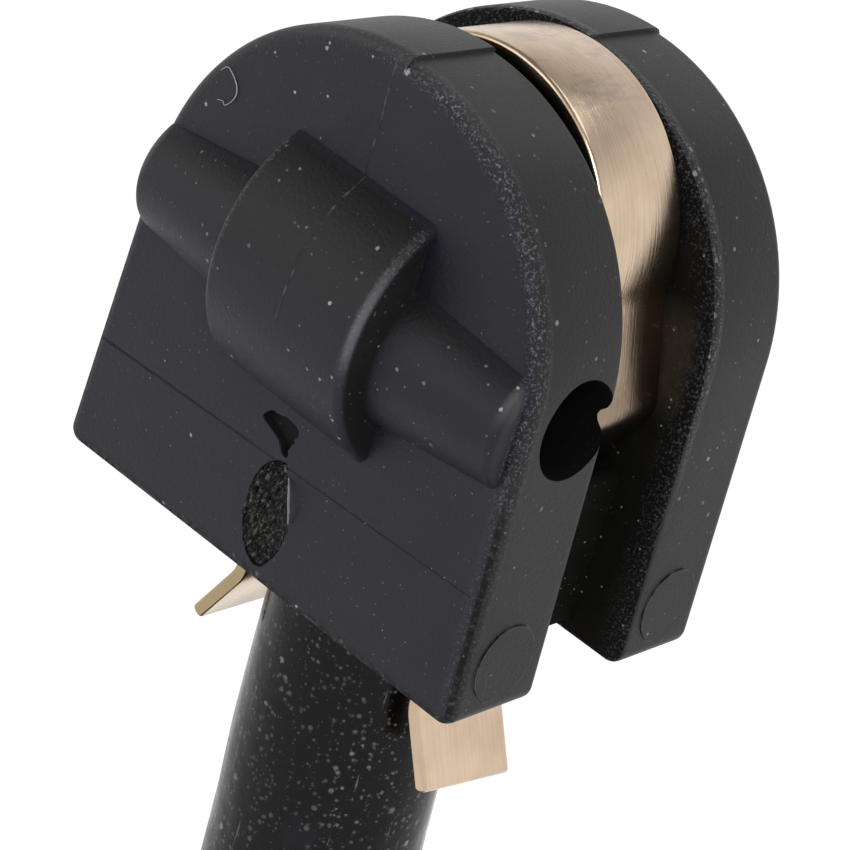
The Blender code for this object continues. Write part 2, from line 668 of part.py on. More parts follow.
def make_tie(name, angle, mat):
    """A tie round the coil's turns, with its locking head on the outside."""
    out = Vector((math.cos(angle), 0.0, math.sin(angle)))
    along = Vector((-math.sin(angle), 0.0, math.cos(angle)))
    middle = Vector((COIL_CENTRE_X, 0.0, COIL_CENTRE_HEIGHT)) + out * COIL_RADIUS
    inner_half = COIL_HALF_SECTION + FIT_GAP
    inner_width = COIL_HALF_WIDTH + inner_half
    corner = inner_half - TIE_CORNER_CUT
    half = TIE_WIDTH / 2
    rings = []
    for grow, shift in ((0.0, -half), (TIE_THICK, -half), (TIE_THICK, half), (0.0, half)):
        outline = rounded_rectangle(inner_half + grow, inner_width + grow, corner + grow)
        rings.append([place(*(middle + out * u + Vector((0.0, v, 0.0)) + along * shift)) for u, v in outline])
    tie = hollow_loft(name, rings, mat)
    head = rounded_rectangle(TIE_HEAD / 2, TIE_HEAD / 2, TIE_HEAD_CORNER)
    base = inner_half + TIE_THICK / 2
    head_rings = []
    for u in (base, base + TIE_HEAD):
        head_rings.append([place(*(middle + out * u + along * a + Vector((0.0, b, 0.0)))) for a, b in head])
    combine(tie, [loft("tie_head", head_rings, mat)], "UNION")
    return tie


def make_boot(mat):
    """Tapered strain relief, pushed over the housing's spigot."""
    x, y, top = connector_axis()
    cable_hole = CABLE_RADIUS + FIT_GAP
    spigot_hole = SPIGOT_DIAMETER / 2 + FIT_GAP
    spigot_top = BOOT_LENGTH - SPIGOT_LENGTH - FIT_GAP
    root = spigot_hole + BOOT_ROOT_WALL
    profile = (
        (cable_hole, 0.0), (cable_hole + BOOT_TIP_WALL, 0.0), (root - BOOT_COLLAR_STEP, BOOT_LENGTH - BOOT_COLLAR),
        (root, BOOT_LENGTH - BOOT_COLLAR), (root, BOOT_LENGTH), (spigot_hole, BOOT_LENGTH),
        (spigot_hole, spigot_top), (cable_hole, spigot_top),
    )
    rings = [along_z(top - down, circle(radius, 40), (x, y)) for radius, down in profile]
    return hollow_loft("cable_boot", rings, mat)


def housing_outline(inset):
    corner = max(HOUSING_CORNER - inset, HOUSING_LEAST_CORNER)
    return rounded_rectangle(HOUSING_WIDTH / 2 - inset, HOUSING_DEPTH / 2 - inset, corner)


def make_housing(mat):
    """Connector housing: body, spigot, shroud with its tower, latch arm and lock pocket."""
    x, y, boot_top = connector_axis()
    top = boot_top - BOOT_LENGTH - FIT_GAP
    bottom = top - HOUSING_LENGTH
    axis = (x, y)
    rings = []
    for height, inset in rim_steps(bottom, top, HOUSING_RIM, HOUSING_RIM, 2):
        rings.append(along_z(height, housing_outline(inset), axis))
    housing = loft("connector_housing", rings, mat)
    spigot_heights = (top - ROOT_OVERLAP, top + SPIGOT_LENGTH)
    spigot = make_rod("spigot", circle(SPIGOT_DIAMETER / 2, 40), spigot_heights, mat, axis)
    combine(housing, [spigot, make_latch(axis, top, mat)], "UNION")

    groove_floor = bottom + SHROUD_DEPTH
    groove_top = bottom - CUT_MARGIN
    groove = []
    for inset, height in ((SHROUD_WALL, groove_top), (SHROUD_WALL, groove_floor),
                          (SHROUD_WALL + TOWER_GAP, groove_floor), (SHROUD_WALL + TOWER_GAP, groove_top)):
        groove.append(along_z(height, housing_outline(inset), axis))
    groove_cut = hollow_loft("groove_cut", groove, mat)
    tip_outline = housing_outline(SHROUD_WALL + TOWER_GAP / 2)
    tip_heights = (bottom - CUT_MARGIN, bottom + TOWER_RECESS)
    tip_cut = make_rod("tip_cut", tip_outline, tip_heights, mat, axis)
    seal_outline = circle(SPIGOT_DIAMETER / 2 - SPIGOT_WALL, 36)
    seal_heights = (top - SEAL_FLOOR, top + SPIGOT_LENGTH + CUT_MARGIN)
    cuts = [groove_cut, tip_cut, make_rod("seal_cut", seal_outline, seal_heights, mat, axis)]
    channel = circle(TERMINAL_DIAMETER / 2 + FIT_GAP, 24)
    for side in (1, -1):
        centre = (x + side * TERMINAL_SPACING / 2, y)
        heights = (bottom - CUT_MARGIN, top - SEAL_FLOOR / 2)
        cuts.append(make_rod("channel_cut", channel, heights, mat, centre))
    cuts.append(make_lock_block("lock_cut", FIT_GAP, CUT_MARGIN, mat))
    combine(housing, cuts, "DIFFERENCE")
    return housing


def make_latch(axis, top, mat):
    """Flexible latch arm on the +Y side, rooted near the mating end."""
    surface = HOUSING_DEPTH / 2
    arm = surface + LATCH_STANDOFF
    outer = arm + LATCH_THICK
    low = top - HOUSING_LENGTH + LATCH_LIFT
    high = low + LATCH_LENGTH
    thumb = high - LATCH_THUMB_LENGTH
    sink = surface - ROOT_OVERLAP
    profile = (
        (sink, low), (outer - LATCH_CHAMFER, low), (outer, low + LATCH_CHAMFER),
        (outer, thumb - LATCH_CHAMFER), (outer + LATCH_THUMB, thumb), (outer + LATCH_THUMB, high),
        (arm, high), (arm, low + LATCH_ROOT), (sink, low + LATCH_ROOT),
    )
    rings = []
    for side in (-1, 1):
        rings.append([place(axis[0] + side * LATCH_WIDTH / 2, axis[1] + dy, height) for dy, height in profile])
    return loft("latch", rings, mat)


def make_lock_block(name, gap, proud, mat):
    """Block that fills the lock pocket in the housing's -Y side, less or more a gap."""
    x, y, boot_top = connector_axis()
    middle = boot_top - BOOT_LENGTH - LOCK_DROP
    outline = rounded_rectangle(LOCK_WIDTH / 2 + gap, LOCK_HEIGHT / 2 + gap, LOCK_CORNER + gap)
    front = y - HOUSING_DEPTH / 2
    rings = []
    for depth in (-proud, LOCK_DEPTH + gap):
        rings.append([place(x + u, front + depth, middle + v) for u, v in outline])
    return loft(name, rings, mat)


def make_wire_seal(mat):
    """Ribbed rubber seal in the spigot, with a hole for each lead."""
    x, y, boot_top = connector_axis()
    top = boot_top - BOOT_LENGTH + SPIGOT_LENGTH - FIT_GAP * 2
    outer = SPIGOT_DIAMETER / 2 - SPIGOT_WALL - FIT_GAP
    rings = []
    length = WIRE_SEAL_LENGTH / WIRE_SEAL_RIBS
    for rib in range(WIRE_SEAL_RIBS):
        start = top - length * rib
        for share, inset in ((0.0, WIRE_SEAL_GROOVE), (0.25, 0.0), (0.6, 0.0), (0.85, WIRE_SEAL_GROOVE)):
            rings.append(along_z(start - length * share, circle(outer - inset, 32), (x, y)))
    seal = loft("wire_seal", rings, mat)
    hole = circle(LEAD_DIAMETER / 2 + FIT_GAP, 20)
    cuts = []
    for side in (1, -1):
        centre = (x + side * TERMINAL_SPACING / 2, y)
        heights = (top - WIRE_SEAL_LENGTH - CUT_MARGIN, top + CUT_MARGIN)
        cuts.append(make_rod("seal_hole", hole, heights, mat, centre))
    combine(seal, cuts, "DIFFERENCE")
    return seal


def make_face_seal(mat):
    """Rubber ring round the tower, on the floor of the groove."""
    x, y, boot_top = connector_axis()
    floor = boot_top - BOOT_LENGTH - FIT_GAP - HOUSING_LENGTH + SHROUD_DEPTH
    high = floor - FIT_GAP
    low = high - FACE_SEAL_HEIGHT
    outer = SHROUD_WALL + FIT_GAP
    inner = SHROUD_WALL + TOWER_GAP - FIT_GAP
    rings = []
    for inset, height in ((outer, low), (outer, high), (inner, high), (inner, low)):
        rings.append(along_z(height, housing_outline(inset), (x, y)))
    return hollow_loft("face_seal", rings, mat)


def make_terminals(metal, red, black):
    """Socket terminals in the tower and the leads that run to them."""
    x, y, boot_top = connector_axis()
    tower_end = boot_top - BOOT_LENGTH - FIT_GAP - HOUSING_LENGTH + TOWER_RECESS
    low = tower_end + TERMINAL_RECESS
    high = low + TERMINAL_LENGTH
    jacket_end = boot_top - (BOOT_LENGTH - SPIGOT_LENGTH - JACKET_MARGIN)
    for side, label, mat in ((-1, "left", red), (1, "right", black)):
        centre = (x + side * TERMINAL_SPACING / 2, y)
        outer = circle(TERMINAL_DIAMETER / 2, 20)
        inner = circle(TERMINAL_BORE / 2, 20)
        floor = low + TERMINAL_LENGTH * TERMINAL_SOCKET_SHARE
        rings = [along_z(floor, inner, centre), along_z(low, inner, centre)]
        rings += [along_z(low, outer, centre), along_z(high, outer, centre)]
        loft(f"terminal_{label}", rings, metal)
        heights = (high + FIT_GAP, jacket_end - FIT_GAP)
        make_rod(f"plug_lead_{label}", circle(LEAD_DIAMETER / 2, 16), heights, mat, centre)


def build():
    clear_scene()
    black_nylon = make_material("black_nylon", (0.032, 0.032, 0.036), 0.55)
    bronze = make_material("bronze_strip", (0.62, 0.47, 0.33), 0.32, 1.0)
    jacket = make_material("cable_jacket", (0.008, 0.008, 0.008), 0.25)
    resin = make_material("potting_resin", (0.02, 0.018, 0.016), 0.4)
    tin = make_material("tinned_metal", (0.72, 0.71, 0.68), 0.3, 1.0)
    brass = make_material("brass", (0.78, 0.6, 0.3), 0.3, 1.0)
    red = make_material("red_insulation", (0.45, 0.03, 0.02), 0.45)
    black = make_material("black_insulation", (0.015, 0.015, 0.015), 0.45)
    enamel = make_material("wire_enamel", (0.3, 0.12, 0.04), 0.35)
    rubber = make_material("seal_rubber", (0.5, 0.12, 0.02), 0.6)
    grey = make_material("grey_nylon", (0.25, 0.25, 0.26), 0.5)

    make_head(black_nylon)
    make_strip(bronze)
    make_potting(resin)
    make_head_leads(red, black, tin)
    make_sense_loop(enamel)
    make_cable(jacket)
    make_coil(jacket)
    make_cable_end(jacket)
    for name, angle in TIE_ANGLES.items():
        make_tie(name, angle, black_nylon)
    make_boot(black_nylon)
    make_housing(black_nylon)
    make_lock_block("terminal_lock", 0.0, 0.0, grey)
    make_wire_seal(rubber)
    make_face_seal(rubber)
    make_terminals(brass, red, black)


build()
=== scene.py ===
# %% [markdown]
# # A brake pad wear sensor
#
# The real thing is a black moulded head the size of a thumbnail, a bent bronze strip that clips
# it into a cut-out of the brake pad's backing plate, and a cable that ends in a small plug.
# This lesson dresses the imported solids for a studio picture: smoother forms where the camera is
# close, and a finish of its own for every surface.

# %% The frame and its box
import math
from types import SimpleNamespace

import bmesh
import bpy
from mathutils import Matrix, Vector, noise


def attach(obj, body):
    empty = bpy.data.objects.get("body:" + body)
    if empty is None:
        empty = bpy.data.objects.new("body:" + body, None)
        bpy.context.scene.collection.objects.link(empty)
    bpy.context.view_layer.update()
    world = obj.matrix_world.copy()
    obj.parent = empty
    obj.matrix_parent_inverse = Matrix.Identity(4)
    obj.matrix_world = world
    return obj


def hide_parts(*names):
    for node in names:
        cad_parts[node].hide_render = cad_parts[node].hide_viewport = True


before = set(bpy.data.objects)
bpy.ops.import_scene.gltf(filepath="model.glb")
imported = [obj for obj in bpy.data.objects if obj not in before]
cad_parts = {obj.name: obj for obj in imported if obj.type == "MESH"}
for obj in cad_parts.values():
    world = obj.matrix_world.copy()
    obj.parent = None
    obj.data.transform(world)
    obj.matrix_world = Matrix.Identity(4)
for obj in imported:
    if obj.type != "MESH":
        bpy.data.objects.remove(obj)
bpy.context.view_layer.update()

# %% [markdown]
# ## Sizes
#
# All sizes are millimetres. Heights count from the bottom of the head, and `place` turns a point
# into metres from the frame's origin, the middle of the arch.

# %% Sizes shared by several pieces
MM = 0.001
CHEEK_WIDTH = 16.0
FRONT_THICK = 3.55
REAR_THICK = 3.3
CHEEK_OFFSET = -0.45
SLOT_WIDTH = 3.9
SLOT_DRAFT = 0.005
ARCH_RADIUS = 7.43
ARCH_CENTRE = 8.76
FRONT_Y = -SLOT_WIDTH / 2 - FRONT_THICK
CABLE_DIAMETER = 6.6
CABLE_RADIUS = CABLE_DIAMETER / 2
SOCKET_DEPTH = 5.0
FIT_GAP = 0.25


def place(x, y, height):
    return Vector((x, y, height - ARCH_CENTRE)) * MM


def ramp(value, low, high):
    """0 up to low, 1 from high on, and a straight line between them."""
    return min(1.0, max(0.0, (value - low) / (high - low)))


def add_object(name, data):
    obj = bpy.data.objects.new(name, data)
    bpy.context.collection.objects.link(obj)
    return obj


# %% [markdown]
# ## The camera
#
# The picture was taken from close by, a little above the head and to its right, with the camera
# tipped clockwise. The place, the aim and the lens come from matching a dozen corners and edges
# of the head to where they lie in an 850 by 850 picture.

# %% Camera at the picture's angle
CAMERA_AT = Vector((43.94, -62.28, 33.58)) * MM
CAMERA_AIM = Vector((1.06, -1.57, -3.62)) * MM
CAMERA_ROLL = math.radians(17.87)
FOCAL_PIXELS = 2962.0
PICTURE_PIXELS = 850.0

camera_data = bpy.data.cameras.new("camera")
camera_data.lens = FOCAL_PIXELS / PICTURE_PIXELS * camera_data.sensor_width
camera_data.clip_start = 0.005
camera_data.clip_end = 20.0
camera = add_object("camera", camera_data)
camera.location = CAMERA_AT
level = (CAMERA_AIM - CAMERA_AT).to_track_quat("-Z", "Y").to_matrix().to_4x4()
turn = level.Rotation(CAMERA_ROLL, 4, "Z")
camera.rotation_euler = (level @ turn).to_euler()
bpy.context.scene.camera = camera
print("lens", round(camera_data.lens, 1), "mm")

# %% [markdown]
# ## Shader maths as Python
#
# A finish is a small graph of nodes. Wrapping a socket in a class that knows `+`, `-` and `*`
# lets a mask be written as one line of arithmetic, and each operator adds the Math node for it.
# Every other node comes from one method, which the world and the Geometry Nodes trees share.


# %% A wrapped socket
class Signal:
    """A socket of a graph that can be added, multiplied and so on."""

    def __init__(self, graph, socket):
        self.graph = graph
        self.socket = socket

    def other(self, output):
        """Another output of the same node."""
        return Signal(self.graph, self.socket.node.outputs[output])

    def __add__(self, other):
        return self.graph.maths("ADD", self, other)

    def __sub__(self, other):
        return self.graph.maths("SUBTRACT", self, other)

    def __rsub__(self, other):
        return self.graph.maths("SUBTRACT", other, self)

    def __mul__(self, other):
        return self.graph.maths("MULTIPLY", self, other)

    def __truediv__(self, other):
        return self.graph.maths("DIVIDE", self, other)

    __radd__ = __add__
    __rmul__ = __mul__

    def size(self):
        """Without its sign."""
        return self.graph.maths("ABSOLUTE", self)

    def least(self, other):
        return self.graph.maths("MINIMUM", self, other)

    def most(self, other):
        return self.graph.maths("MAXIMUM", self, other)

    def rise(self, low, high):
        """A mask that goes softly from 0 at low to 1 at high."""
        sockets = {"Value": self, "From Min": low, "From Max": high}
        return self.graph.node("ShaderNodeMapRange", {"interpolation_type": "SMOOTHSTEP"}, sockets)

    def fall(self, low, high):
        """A mask that goes softly from 1 at low to 0 at high."""
        return 1 - self.rise(low, high)

    def around(self, middle, inner, outer):
        """A mask that is 1 within inner of the middle and 0 beyond outer."""
        return (self - middle).size().fall(inner, outer)


# %% A graph and a finish
class Graph:
    """A tree of nodes. A node is one call, and its result is a wrapped socket."""

    def __init__(self, tree):
        self.tree = tree

    def node(self, kind, settings=None, sockets=None, output=0):
        """Add a node: its settings first, then the values or links of its sockets."""
        node = self.tree.nodes.new(kind)
        for name, value in (settings or {}).items():
            setattr(node, name, value)
        for key, value in (sockets or {}).items():
            self.feed(node.inputs[key], value)
        return Signal(self, node.outputs[output])

    def feed(self, socket, value):
        if isinstance(value, Signal):
            self.tree.links.new(value.socket, socket)
        else:
            socket.default_value = value

    def maths(self, operation, first, second=0.0):
        return self.node("ShaderNodeMath", {"operation": operation}, {0: first, 1: second})


def opaque(colour):
    """A colour, or a number for a grey, as the four numbers that a socket takes."""
    return (*colour, 1.0) if isinstance(colour, tuple) else (colour, colour, colour, 1.0)


class Finish(Graph):
    """A material whose pattern lies on Object coordinates, counted in millimetres."""

    def __init__(self, name, colour, roughness, metallic=0.0, specular=0.5):
        self.material = bpy.data.materials.new(name)
        self.material.use_nodes = True
        super().__init__(self.material.node_tree)
        self.shader = self.tree.nodes["Principled BSDF"]
        self.set("Base Color", opaque(colour))
        self.set("Roughness", roughness)
        self.set("Metallic", metallic)
        self.set("Specular IOR Level", specular)
        coordinates = self.node("ShaderNodeTexCoord", output="Object")
        self.at = self.node("ShaderNodeVectorMath", {"operation": "SCALE"}, {0: coordinates, "Scale": 1 / MM})

    def set(self, name, value):
        self.feed(self.shader.inputs[name], value)

    def axes(self):
        """The x, y and z of Object coordinates, in millimetres."""
        x = self.node("ShaderNodeSeparateXYZ", None, {0: self.at})
        return x, x.other(1), x.other(2)

    def stretched(self, x, y, z):
        """Coordinates scaled differently along each axis."""
        return self.node("ShaderNodeVectorMath", {"operation": "MULTIPLY"}, {0: self.at, 1: (x, y, z)})

    def noise(self, scale, detail=2.0, roughness=0.5, at=None, output=0):
        sockets = {"Vector": at or self.at, "Scale": scale, "Detail": detail, "Roughness": roughness}
        return self.node("ShaderNodeTexNoise", None, sockets, output)

    def specks(self, per_mm, share, radius, at=None):
        """A mask of ragged specks: one place per cell, of which a share holds a speck."""
        at = at or self.at
        push = self.noise(9.0 * per_mm, 1.0, at=at, output="Color")
        pushed = self.node("ShaderNodeVectorMath", {"operation": "MULTIPLY_ADD"},
                           {0: push, 1: (radius,) * 3, 2: at})
        distance = self.node("ShaderNodeTexVoronoi", {"feature": "F1"}, {"Vector": pushed, "Scale": per_mm},
                             "Distance")
        luck = self.node("ShaderNodeSeparateColor", None, {0: distance.other("Color")})
        width = luck.other(1)
        reach = (width * width + 0.15) * (radius * per_mm)
        return (distance / reach).fall(0.55, 1.0) * luck.rise(1 - share, 1 - share + 0.001)

    def blend(self, mask, first, second):
        """A colour between two colours."""
        first, second = (end if isinstance(end, Signal) else opaque(end) for end in (first, second))
        return self.node("ShaderNodeMix", {"data_type": "RGBA"}, {0: mask, 6: first, 7: second}, 2)

    def bump(self, height, depth):
        """Bump of a height between 0 and 1, as deep as depth in millimetres."""
        self.set("Normal", self.node("ShaderNodeBump", None, {"Height": height, "Distance": depth * MM}))


# %% [markdown]
# ## Lofts
#
# Most moulded and bent pieces here are lofts: rings of points joined by quads. A rim gets its
# rounding from extra rings whose outline is drawn a little smaller, so no Bevel is needed and
# the rounding is exactly as wide as asked.


# %% Loft helpers
def loft(name, rings, closed=False):
    """A closed body through rings of points; a closed one joins its last ring to its first."""
    bm = bmesh.new()
    loops = [[bm.verts.new(corner) for corner in ring] for ring in rings]
    count = len(loops[0])
    pairs = list(zip(loops, loops[1:])) + ([(loops[-1], loops[0])] if closed else [])
    for lower, upper in pairs:
        for i in range(count):
            j = (i + 1) % count
            bm.faces.new((lower[i], lower[j], upper[j], upper[i]))
    if not closed:
        bm.faces.new(list(reversed(loops[0])))
        bm.faces.new(loops[-1])
    return piece_from(name, bm)


def piece_from(name, bm, sharp=32.0):
    """Turn a bmesh into an object, with its faces outwards and its edges sharp where they bend."""
    bmesh.ops.recalc_face_normals(bm, faces=bm.faces)
    if bm.calc_volume(signed=True) < 0:
        bmesh.ops.reverse_faces(bm, faces=bm.faces)
    mesh = bpy.data.meshes.new(name)
    bm.to_mesh(mesh)
    bm.free()
    mesh.shade_smooth()
    mesh.set_sharp_from_angle(angle=math.radians(sharp))
    return add_object(name, mesh)


def combine(target, tools, operation, sharp=32.0):
    """Join tools to the target or cut them from it, and drop them."""
    for tool in tools:
        modifier = target.modifiers.new(operation, "BOOLEAN")
        modifier.operation = operation
        modifier.solver = "EXACT"
        modifier.object = tool
        depsgraph = bpy.context.evaluated_depsgraph_get()
        mesh = bpy.data.meshes.new_from_object(target.evaluated_get(depsgraph))
        target.modifiers.clear()
        target.data = mesh
        bpy.data.objects.remove(tool, do_unlink=True)
    target.data.shade_smooth()
    target.data.set_sharp_from_angle(angle=math.radians(sharp))


def rim_steps(start, end, start_radius, end_radius, segments=6):
    """Places along an extrusion and the outline's inset there, so that its rims are round."""
    angles = [math.pi / 2 * k / segments for k in range(segments + 1)]
    first = [(start + start_radius * (1 - math.cos(a)), start_radius * (1 - math.sin(a))) for a in angles]
    last = [(end - end_radius * (1 - math.cos(a)), end_radius * (1 - math.sin(a))) for a in reversed(angles)]
    return first + last


def arc(centre, radius, start, end, step=math.radians(2.5)):
    count = max(3, math.ceil(abs(end - start) / step))
    angles = [start + (end - start) * k / count for k in range(count + 1)]
    return [(centre[0] + radius * math.cos(a), centre[1] + radius * math.sin(a)) for a in angles]


def circle(radius, count=64):
    angles = [2 * math.pi * k / count for k in range(count)]
    return [(radius * math.cos(a), radius * math.sin(a)) for a in angles]


def rounded_rectangle(half_width, half_depth, corner, step=math.radians(10.0)):
    points = []
    for quarter, (sx, sy) in enumerate(((1, 1), (-1, 1), (-1, -1), (1, -1))):
        centre = (sx * (half_width - corner), sy * (half_depth - corner))
        points += arc(centre, corner, math.pi / 2 * quarter, math.pi / 2 * (quarter + 1), step)
    return points


def along_x(x, outline):
    return [place(CHEEK_OFFSET + x, y, height) for y, height in outline]


def along_y(y, outline):
    return [place(x, y, height) for x, height in outline]


def along_z(height, outline, centre=(0.0, 0.0)):
    return [place(centre[0] + x, centre[1] + y, height) for x, y in outline]


def smooth_point(a, b, c, d, t):
    """A point between b and c, at the share t, of a smooth curve through all four."""
    return (b * 2 + (c - a) * t + (a * 2 - b * 5 + c * 4 - d) * t ** 2 + (b * 3 - a - c * 3 + d) * t ** 3) / 2


def poly_curve(name, points, closed=False):
    """A curve of straight runs through points in metres."""
    curve = bpy.data.curves.new(name, "CURVE")
    curve.dimensions = "3D"
    spline = curve.splines.new("POLY")
    spline.points.add(len(points) - 1)
    for spot, point in zip(spline.points, points):
        spot.co = (*point, 1.0)
    spline.use_cyclic_u = closed
    return curve


# %% [markdown]
# ## The cable
#
# The cable leaves the head straight down, hangs, and its spare length is tied in a neat coil
# below the head, where a store would keep it. One smooth line runs from the head through all
# the turns of the coil to the plug, so the cable is one curve with a round bevel.

# %% Route of the cable
CABLE_ROUTE = (
    (0.0, 0.0, 3.2), (0.0, 0.1, -2.0), (0.35, 0.2, -7.0), (0.8, 0.2, -13.0), (1.5, -0.4, -20.0),
    (3.3, -2.4, -29.0), (7.0, -5.6, -39.0), (13.7, -9.6, -51.8),
)
COIL_DIAMETER = 71.5
COIL_PITCH = 6.7
COIL_TURNS = 3.1
COIL_CENTRE_X = -9.0
COIL_CENTRE_HEIGHT = -80.0
COIL_START = math.radians(36.0)
COIL_RADIUS = COIL_DIAMETER / 2
COIL_HALF_WIDTH = COIL_PITCH * COIL_TURNS / 2
TAIL_ROUTE_DROPS = ((0.0, 0.0, 8.0), (-0.9, -0.8, 20.0), (-1.5, -1.6, 32.0), (-1.6, -1.9, 42.0))
BOOT_DROP = 46.0
BOOT_LENGTH = 21.0
SPIGOT_LENGTH = 6.0
JACKET_MARGIN = 1.0
COIL_POINTS = 120
CURVE_STEPS = 24


def coil_point(turns):
    """Middle of the cable in the coil, a number of turns from its start."""
    angle = COIL_START - 2 * math.pi * turns
    x = COIL_CENTRE_X + COIL_RADIUS * math.cos(angle)
    height = COIL_CENTRE_HEIGHT + COIL_RADIUS * math.sin(angle)
    return Vector((x, COIL_PITCH * turns - COIL_HALF_WIDTH, height))


def smooth_route(points, spacing):
    """Evenly spaced points on a smooth curve through the given ones."""
    ends = [points[0] * 2 - points[1], *points, points[-1] * 2 - points[-2]]
    fine = []
    for a, b, c, d in zip(ends, ends[1:], ends[2:], ends[3:]):
        fine += [smooth_point(a, b, c, d, k / CURVE_STEPS) for k in range(CURVE_STEPS)]
    fine.append(points[-1])
    lengths = [0.0]
    for a, b in zip(fine, fine[1:]):
        lengths.append(lengths[-1] + (b - a).length)
    count = max(2, round(lengths[-1] / spacing))
    route, k = [], 0
    for i in range(count + 1):
        goal = lengths[-1] * i / count
        while k < len(fine) - 2 and lengths[k + 1] < goal:
            k += 1
        share = (goal - lengths[k]) / (lengths[k + 1] - lengths[k])
        route.append(fine[k].lerp(fine[k + 1], share))
    return route


coil_end = coil_point(COIL_TURNS)
boot_x = coil_end.x + TAIL_ROUTE_DROPS[-1][0]
boot_y = coil_end.y + TAIL_ROUTE_DROPS[-1][1]
boot_top = coil_end.z - BOOT_DROP
jacket_end = boot_top - (BOOT_LENGTH - SPIGOT_LENGTH - JACKET_MARGIN)
run = smooth_route([Vector(corner) for corner in CABLE_ROUTE] + [coil_point(0.0)], 2.5)
turns = [coil_point(COIL_TURNS * k / COIL_POINTS) for k in range(COIL_POINTS + 1)]
drops = [coil_end + Vector((dx, dy, -drop)) for dx, dy, drop in TAIL_ROUTE_DROPS]
drops += [Vector((boot_x, boot_y, height)) for height in (boot_top, jacket_end)]
end = smooth_route([coil_end, *drops], 4.0)
route = run[:-1] + turns + end[1:]
cable_length = sum((b - a).length for a, b in zip(route, route[1:])) * MM
print("cable", len(route), "points,", round(cable_length, 3), "m")

# %% The cable as a bevelled curve
JACKET_WAVE = 0.022          # the jacket's thickness varies by this share
NECK_SHARE = 0.06            # the jacket is drawn thinner by this share where it enters the head
NECK_LENGTH = 7.0
cable_curve = poly_curve("cable_run", [place(*corner) for corner in route])
cable_curve.bevel_depth = CABLE_RADIUS * MM
cable_curve.bevel_resolution = 14
cable_curve.use_fill_caps = True
spline = cable_curve.splines[0]
spline.use_smooth = True
for k, (spot, corner) in enumerate(zip(spline.points, route)):
    wave = JACKET_WAVE * math.sin(k * 1.9) * math.sin(k * 0.63 + 0.5)
    spot.radius = 1.0 + wave - NECK_SHARE * ramp(corner.z, -NECK_LENGTH, 0.0)
cable = add_object("cable_run", cable_curve)

# %% [markdown]
# ## The head moulding
#
# The head is one injection moulding: two arched cheeks, a narrower web between them that the
# strip sits on, and on the front cheek a short barrel with a tapered ridge on each side, over
# the bore that the sensing wire lies in. It is made as the tool maker would think of it:
# closed lofts joined by Booleans, then the bore, the cable socket and the lead pocket cut out.
# The two halves of the mould don't meet exactly, so the left half of each arch stands a tenth
# of a millimetre higher, and the step shows on top. On the part in the picture the left ridge
# and the barrel's left end also sit a little high, and so they do here.

# %% Outline of a cheek
MOULD_STEP = 0.12
PARTING_X = 0.3
CORNER_RADIUS = 0.5
RIM_RADIUS = 0.4
SLOT_RIM_RADIUS = 0.25


def half_cheek(centre_height, parting, inset):
    """Bottom corner, leaning side and arch of one half, up to the parting plane."""
    corner = (CHEEK_WIDTH / 2 - CORNER_RADIUS, CORNER_RADIUS)
    up = centre_height - corner[1]
    reach = math.hypot(corner[0], up)
    side = math.atan2(up, -corner[0]) - math.acos((CORNER_RADIUS - ARCH_RADIUS) / reach)
    points = arc(corner, CORNER_RADIUS - inset, -math.pi / 2, side, math.radians(12.0))
    radius = ARCH_RADIUS - inset
    return points + arc((0.0, centre_height), radius, side, math.acos(parting / radius))


def cheek_outline(inset):
    right = half_cheek(ARCH_CENTRE, PARTING_X, inset)
    left = half_cheek(ARCH_CENTRE + MOULD_STEP, -PARTING_X, inset)
    outline = right + [(-x, height) for x, height in left[::-1]]
    return [(x + CHEEK_OFFSET, height) for x, height in outline]


def make_cheek(name, side, thick):
    """A cheek on the -Y or +Y side, whose slot face leans with the draft."""
    outside = SLOT_WIDTH / 2 + thick
    rings = []
    for y, inset in rim_steps(SLOT_WIDTH / 2, outside, SLOT_RIM_RADIUS, RIM_RADIUS):
        lean = SLOT_DRAFT * (outside - y) / thick
        rings.append([place(x, side * (y + lean * (h - ARCH_CENTRE)), h) for x, h in cheek_outline(inset)])
    return loft(name, rings)


# %% Barrel and ridges
BARREL_PROUD = 2.1
BARREL_HALF_LENGTH = 2.75
BARREL_LIFT = 0.25
BARREL_SHIFT = 0.05
BARREL_RIM = 0.3
BORE_DEPTH = 2.12
BORE_DIAMETER = 2.9
RIDGE_DEPTH = 1.1
RIDGE_ROOT_RADIUS = 2.35
RIDGE_TIP_RADIUS = 1.95
RIDGE_MARGIN = 0.9
RIDGE_RIM = 0.25
RIDGE_LIFT = 0.45            # the left ridge sits this much higher than the right one
BARREL_TILT = 0.2            # and the barrel's left end this much higher than its right end
ROOT_SINK = 1.2              # how far a root reaches into the cheek
BORE_Y = FRONT_Y + BORE_DEPTH


def d_section(axis, radius, back):
    """A round bar's outline, cut off flat at the back."""
    half = math.acos((back - axis[0]) / radius)
    return arc(axis, radius, half, 2 * math.pi - half, math.radians(4.0))


def make_barrel():
    axis = (BORE_Y, ARCH_CENTRE + BARREL_LIFT)
    steps = rim_steps(-BARREL_HALF_LENGTH, BARREL_HALF_LENGTH, BARREL_RIM, BARREL_RIM)
    radius = BORE_DEPTH + BARREL_PROUD
    back = FRONT_Y + ROOT_SINK
    rings = []
    for x, inset in steps:
        risen = (axis[0], axis[1] + BARREL_TILT * ramp(-x, -BARREL_HALF_LENGTH, BARREL_HALF_LENGTH))
        rings.append(along_x(BARREL_SHIFT + x, d_section(risen, radius - inset, back)))
    return loft("barrel", rings)


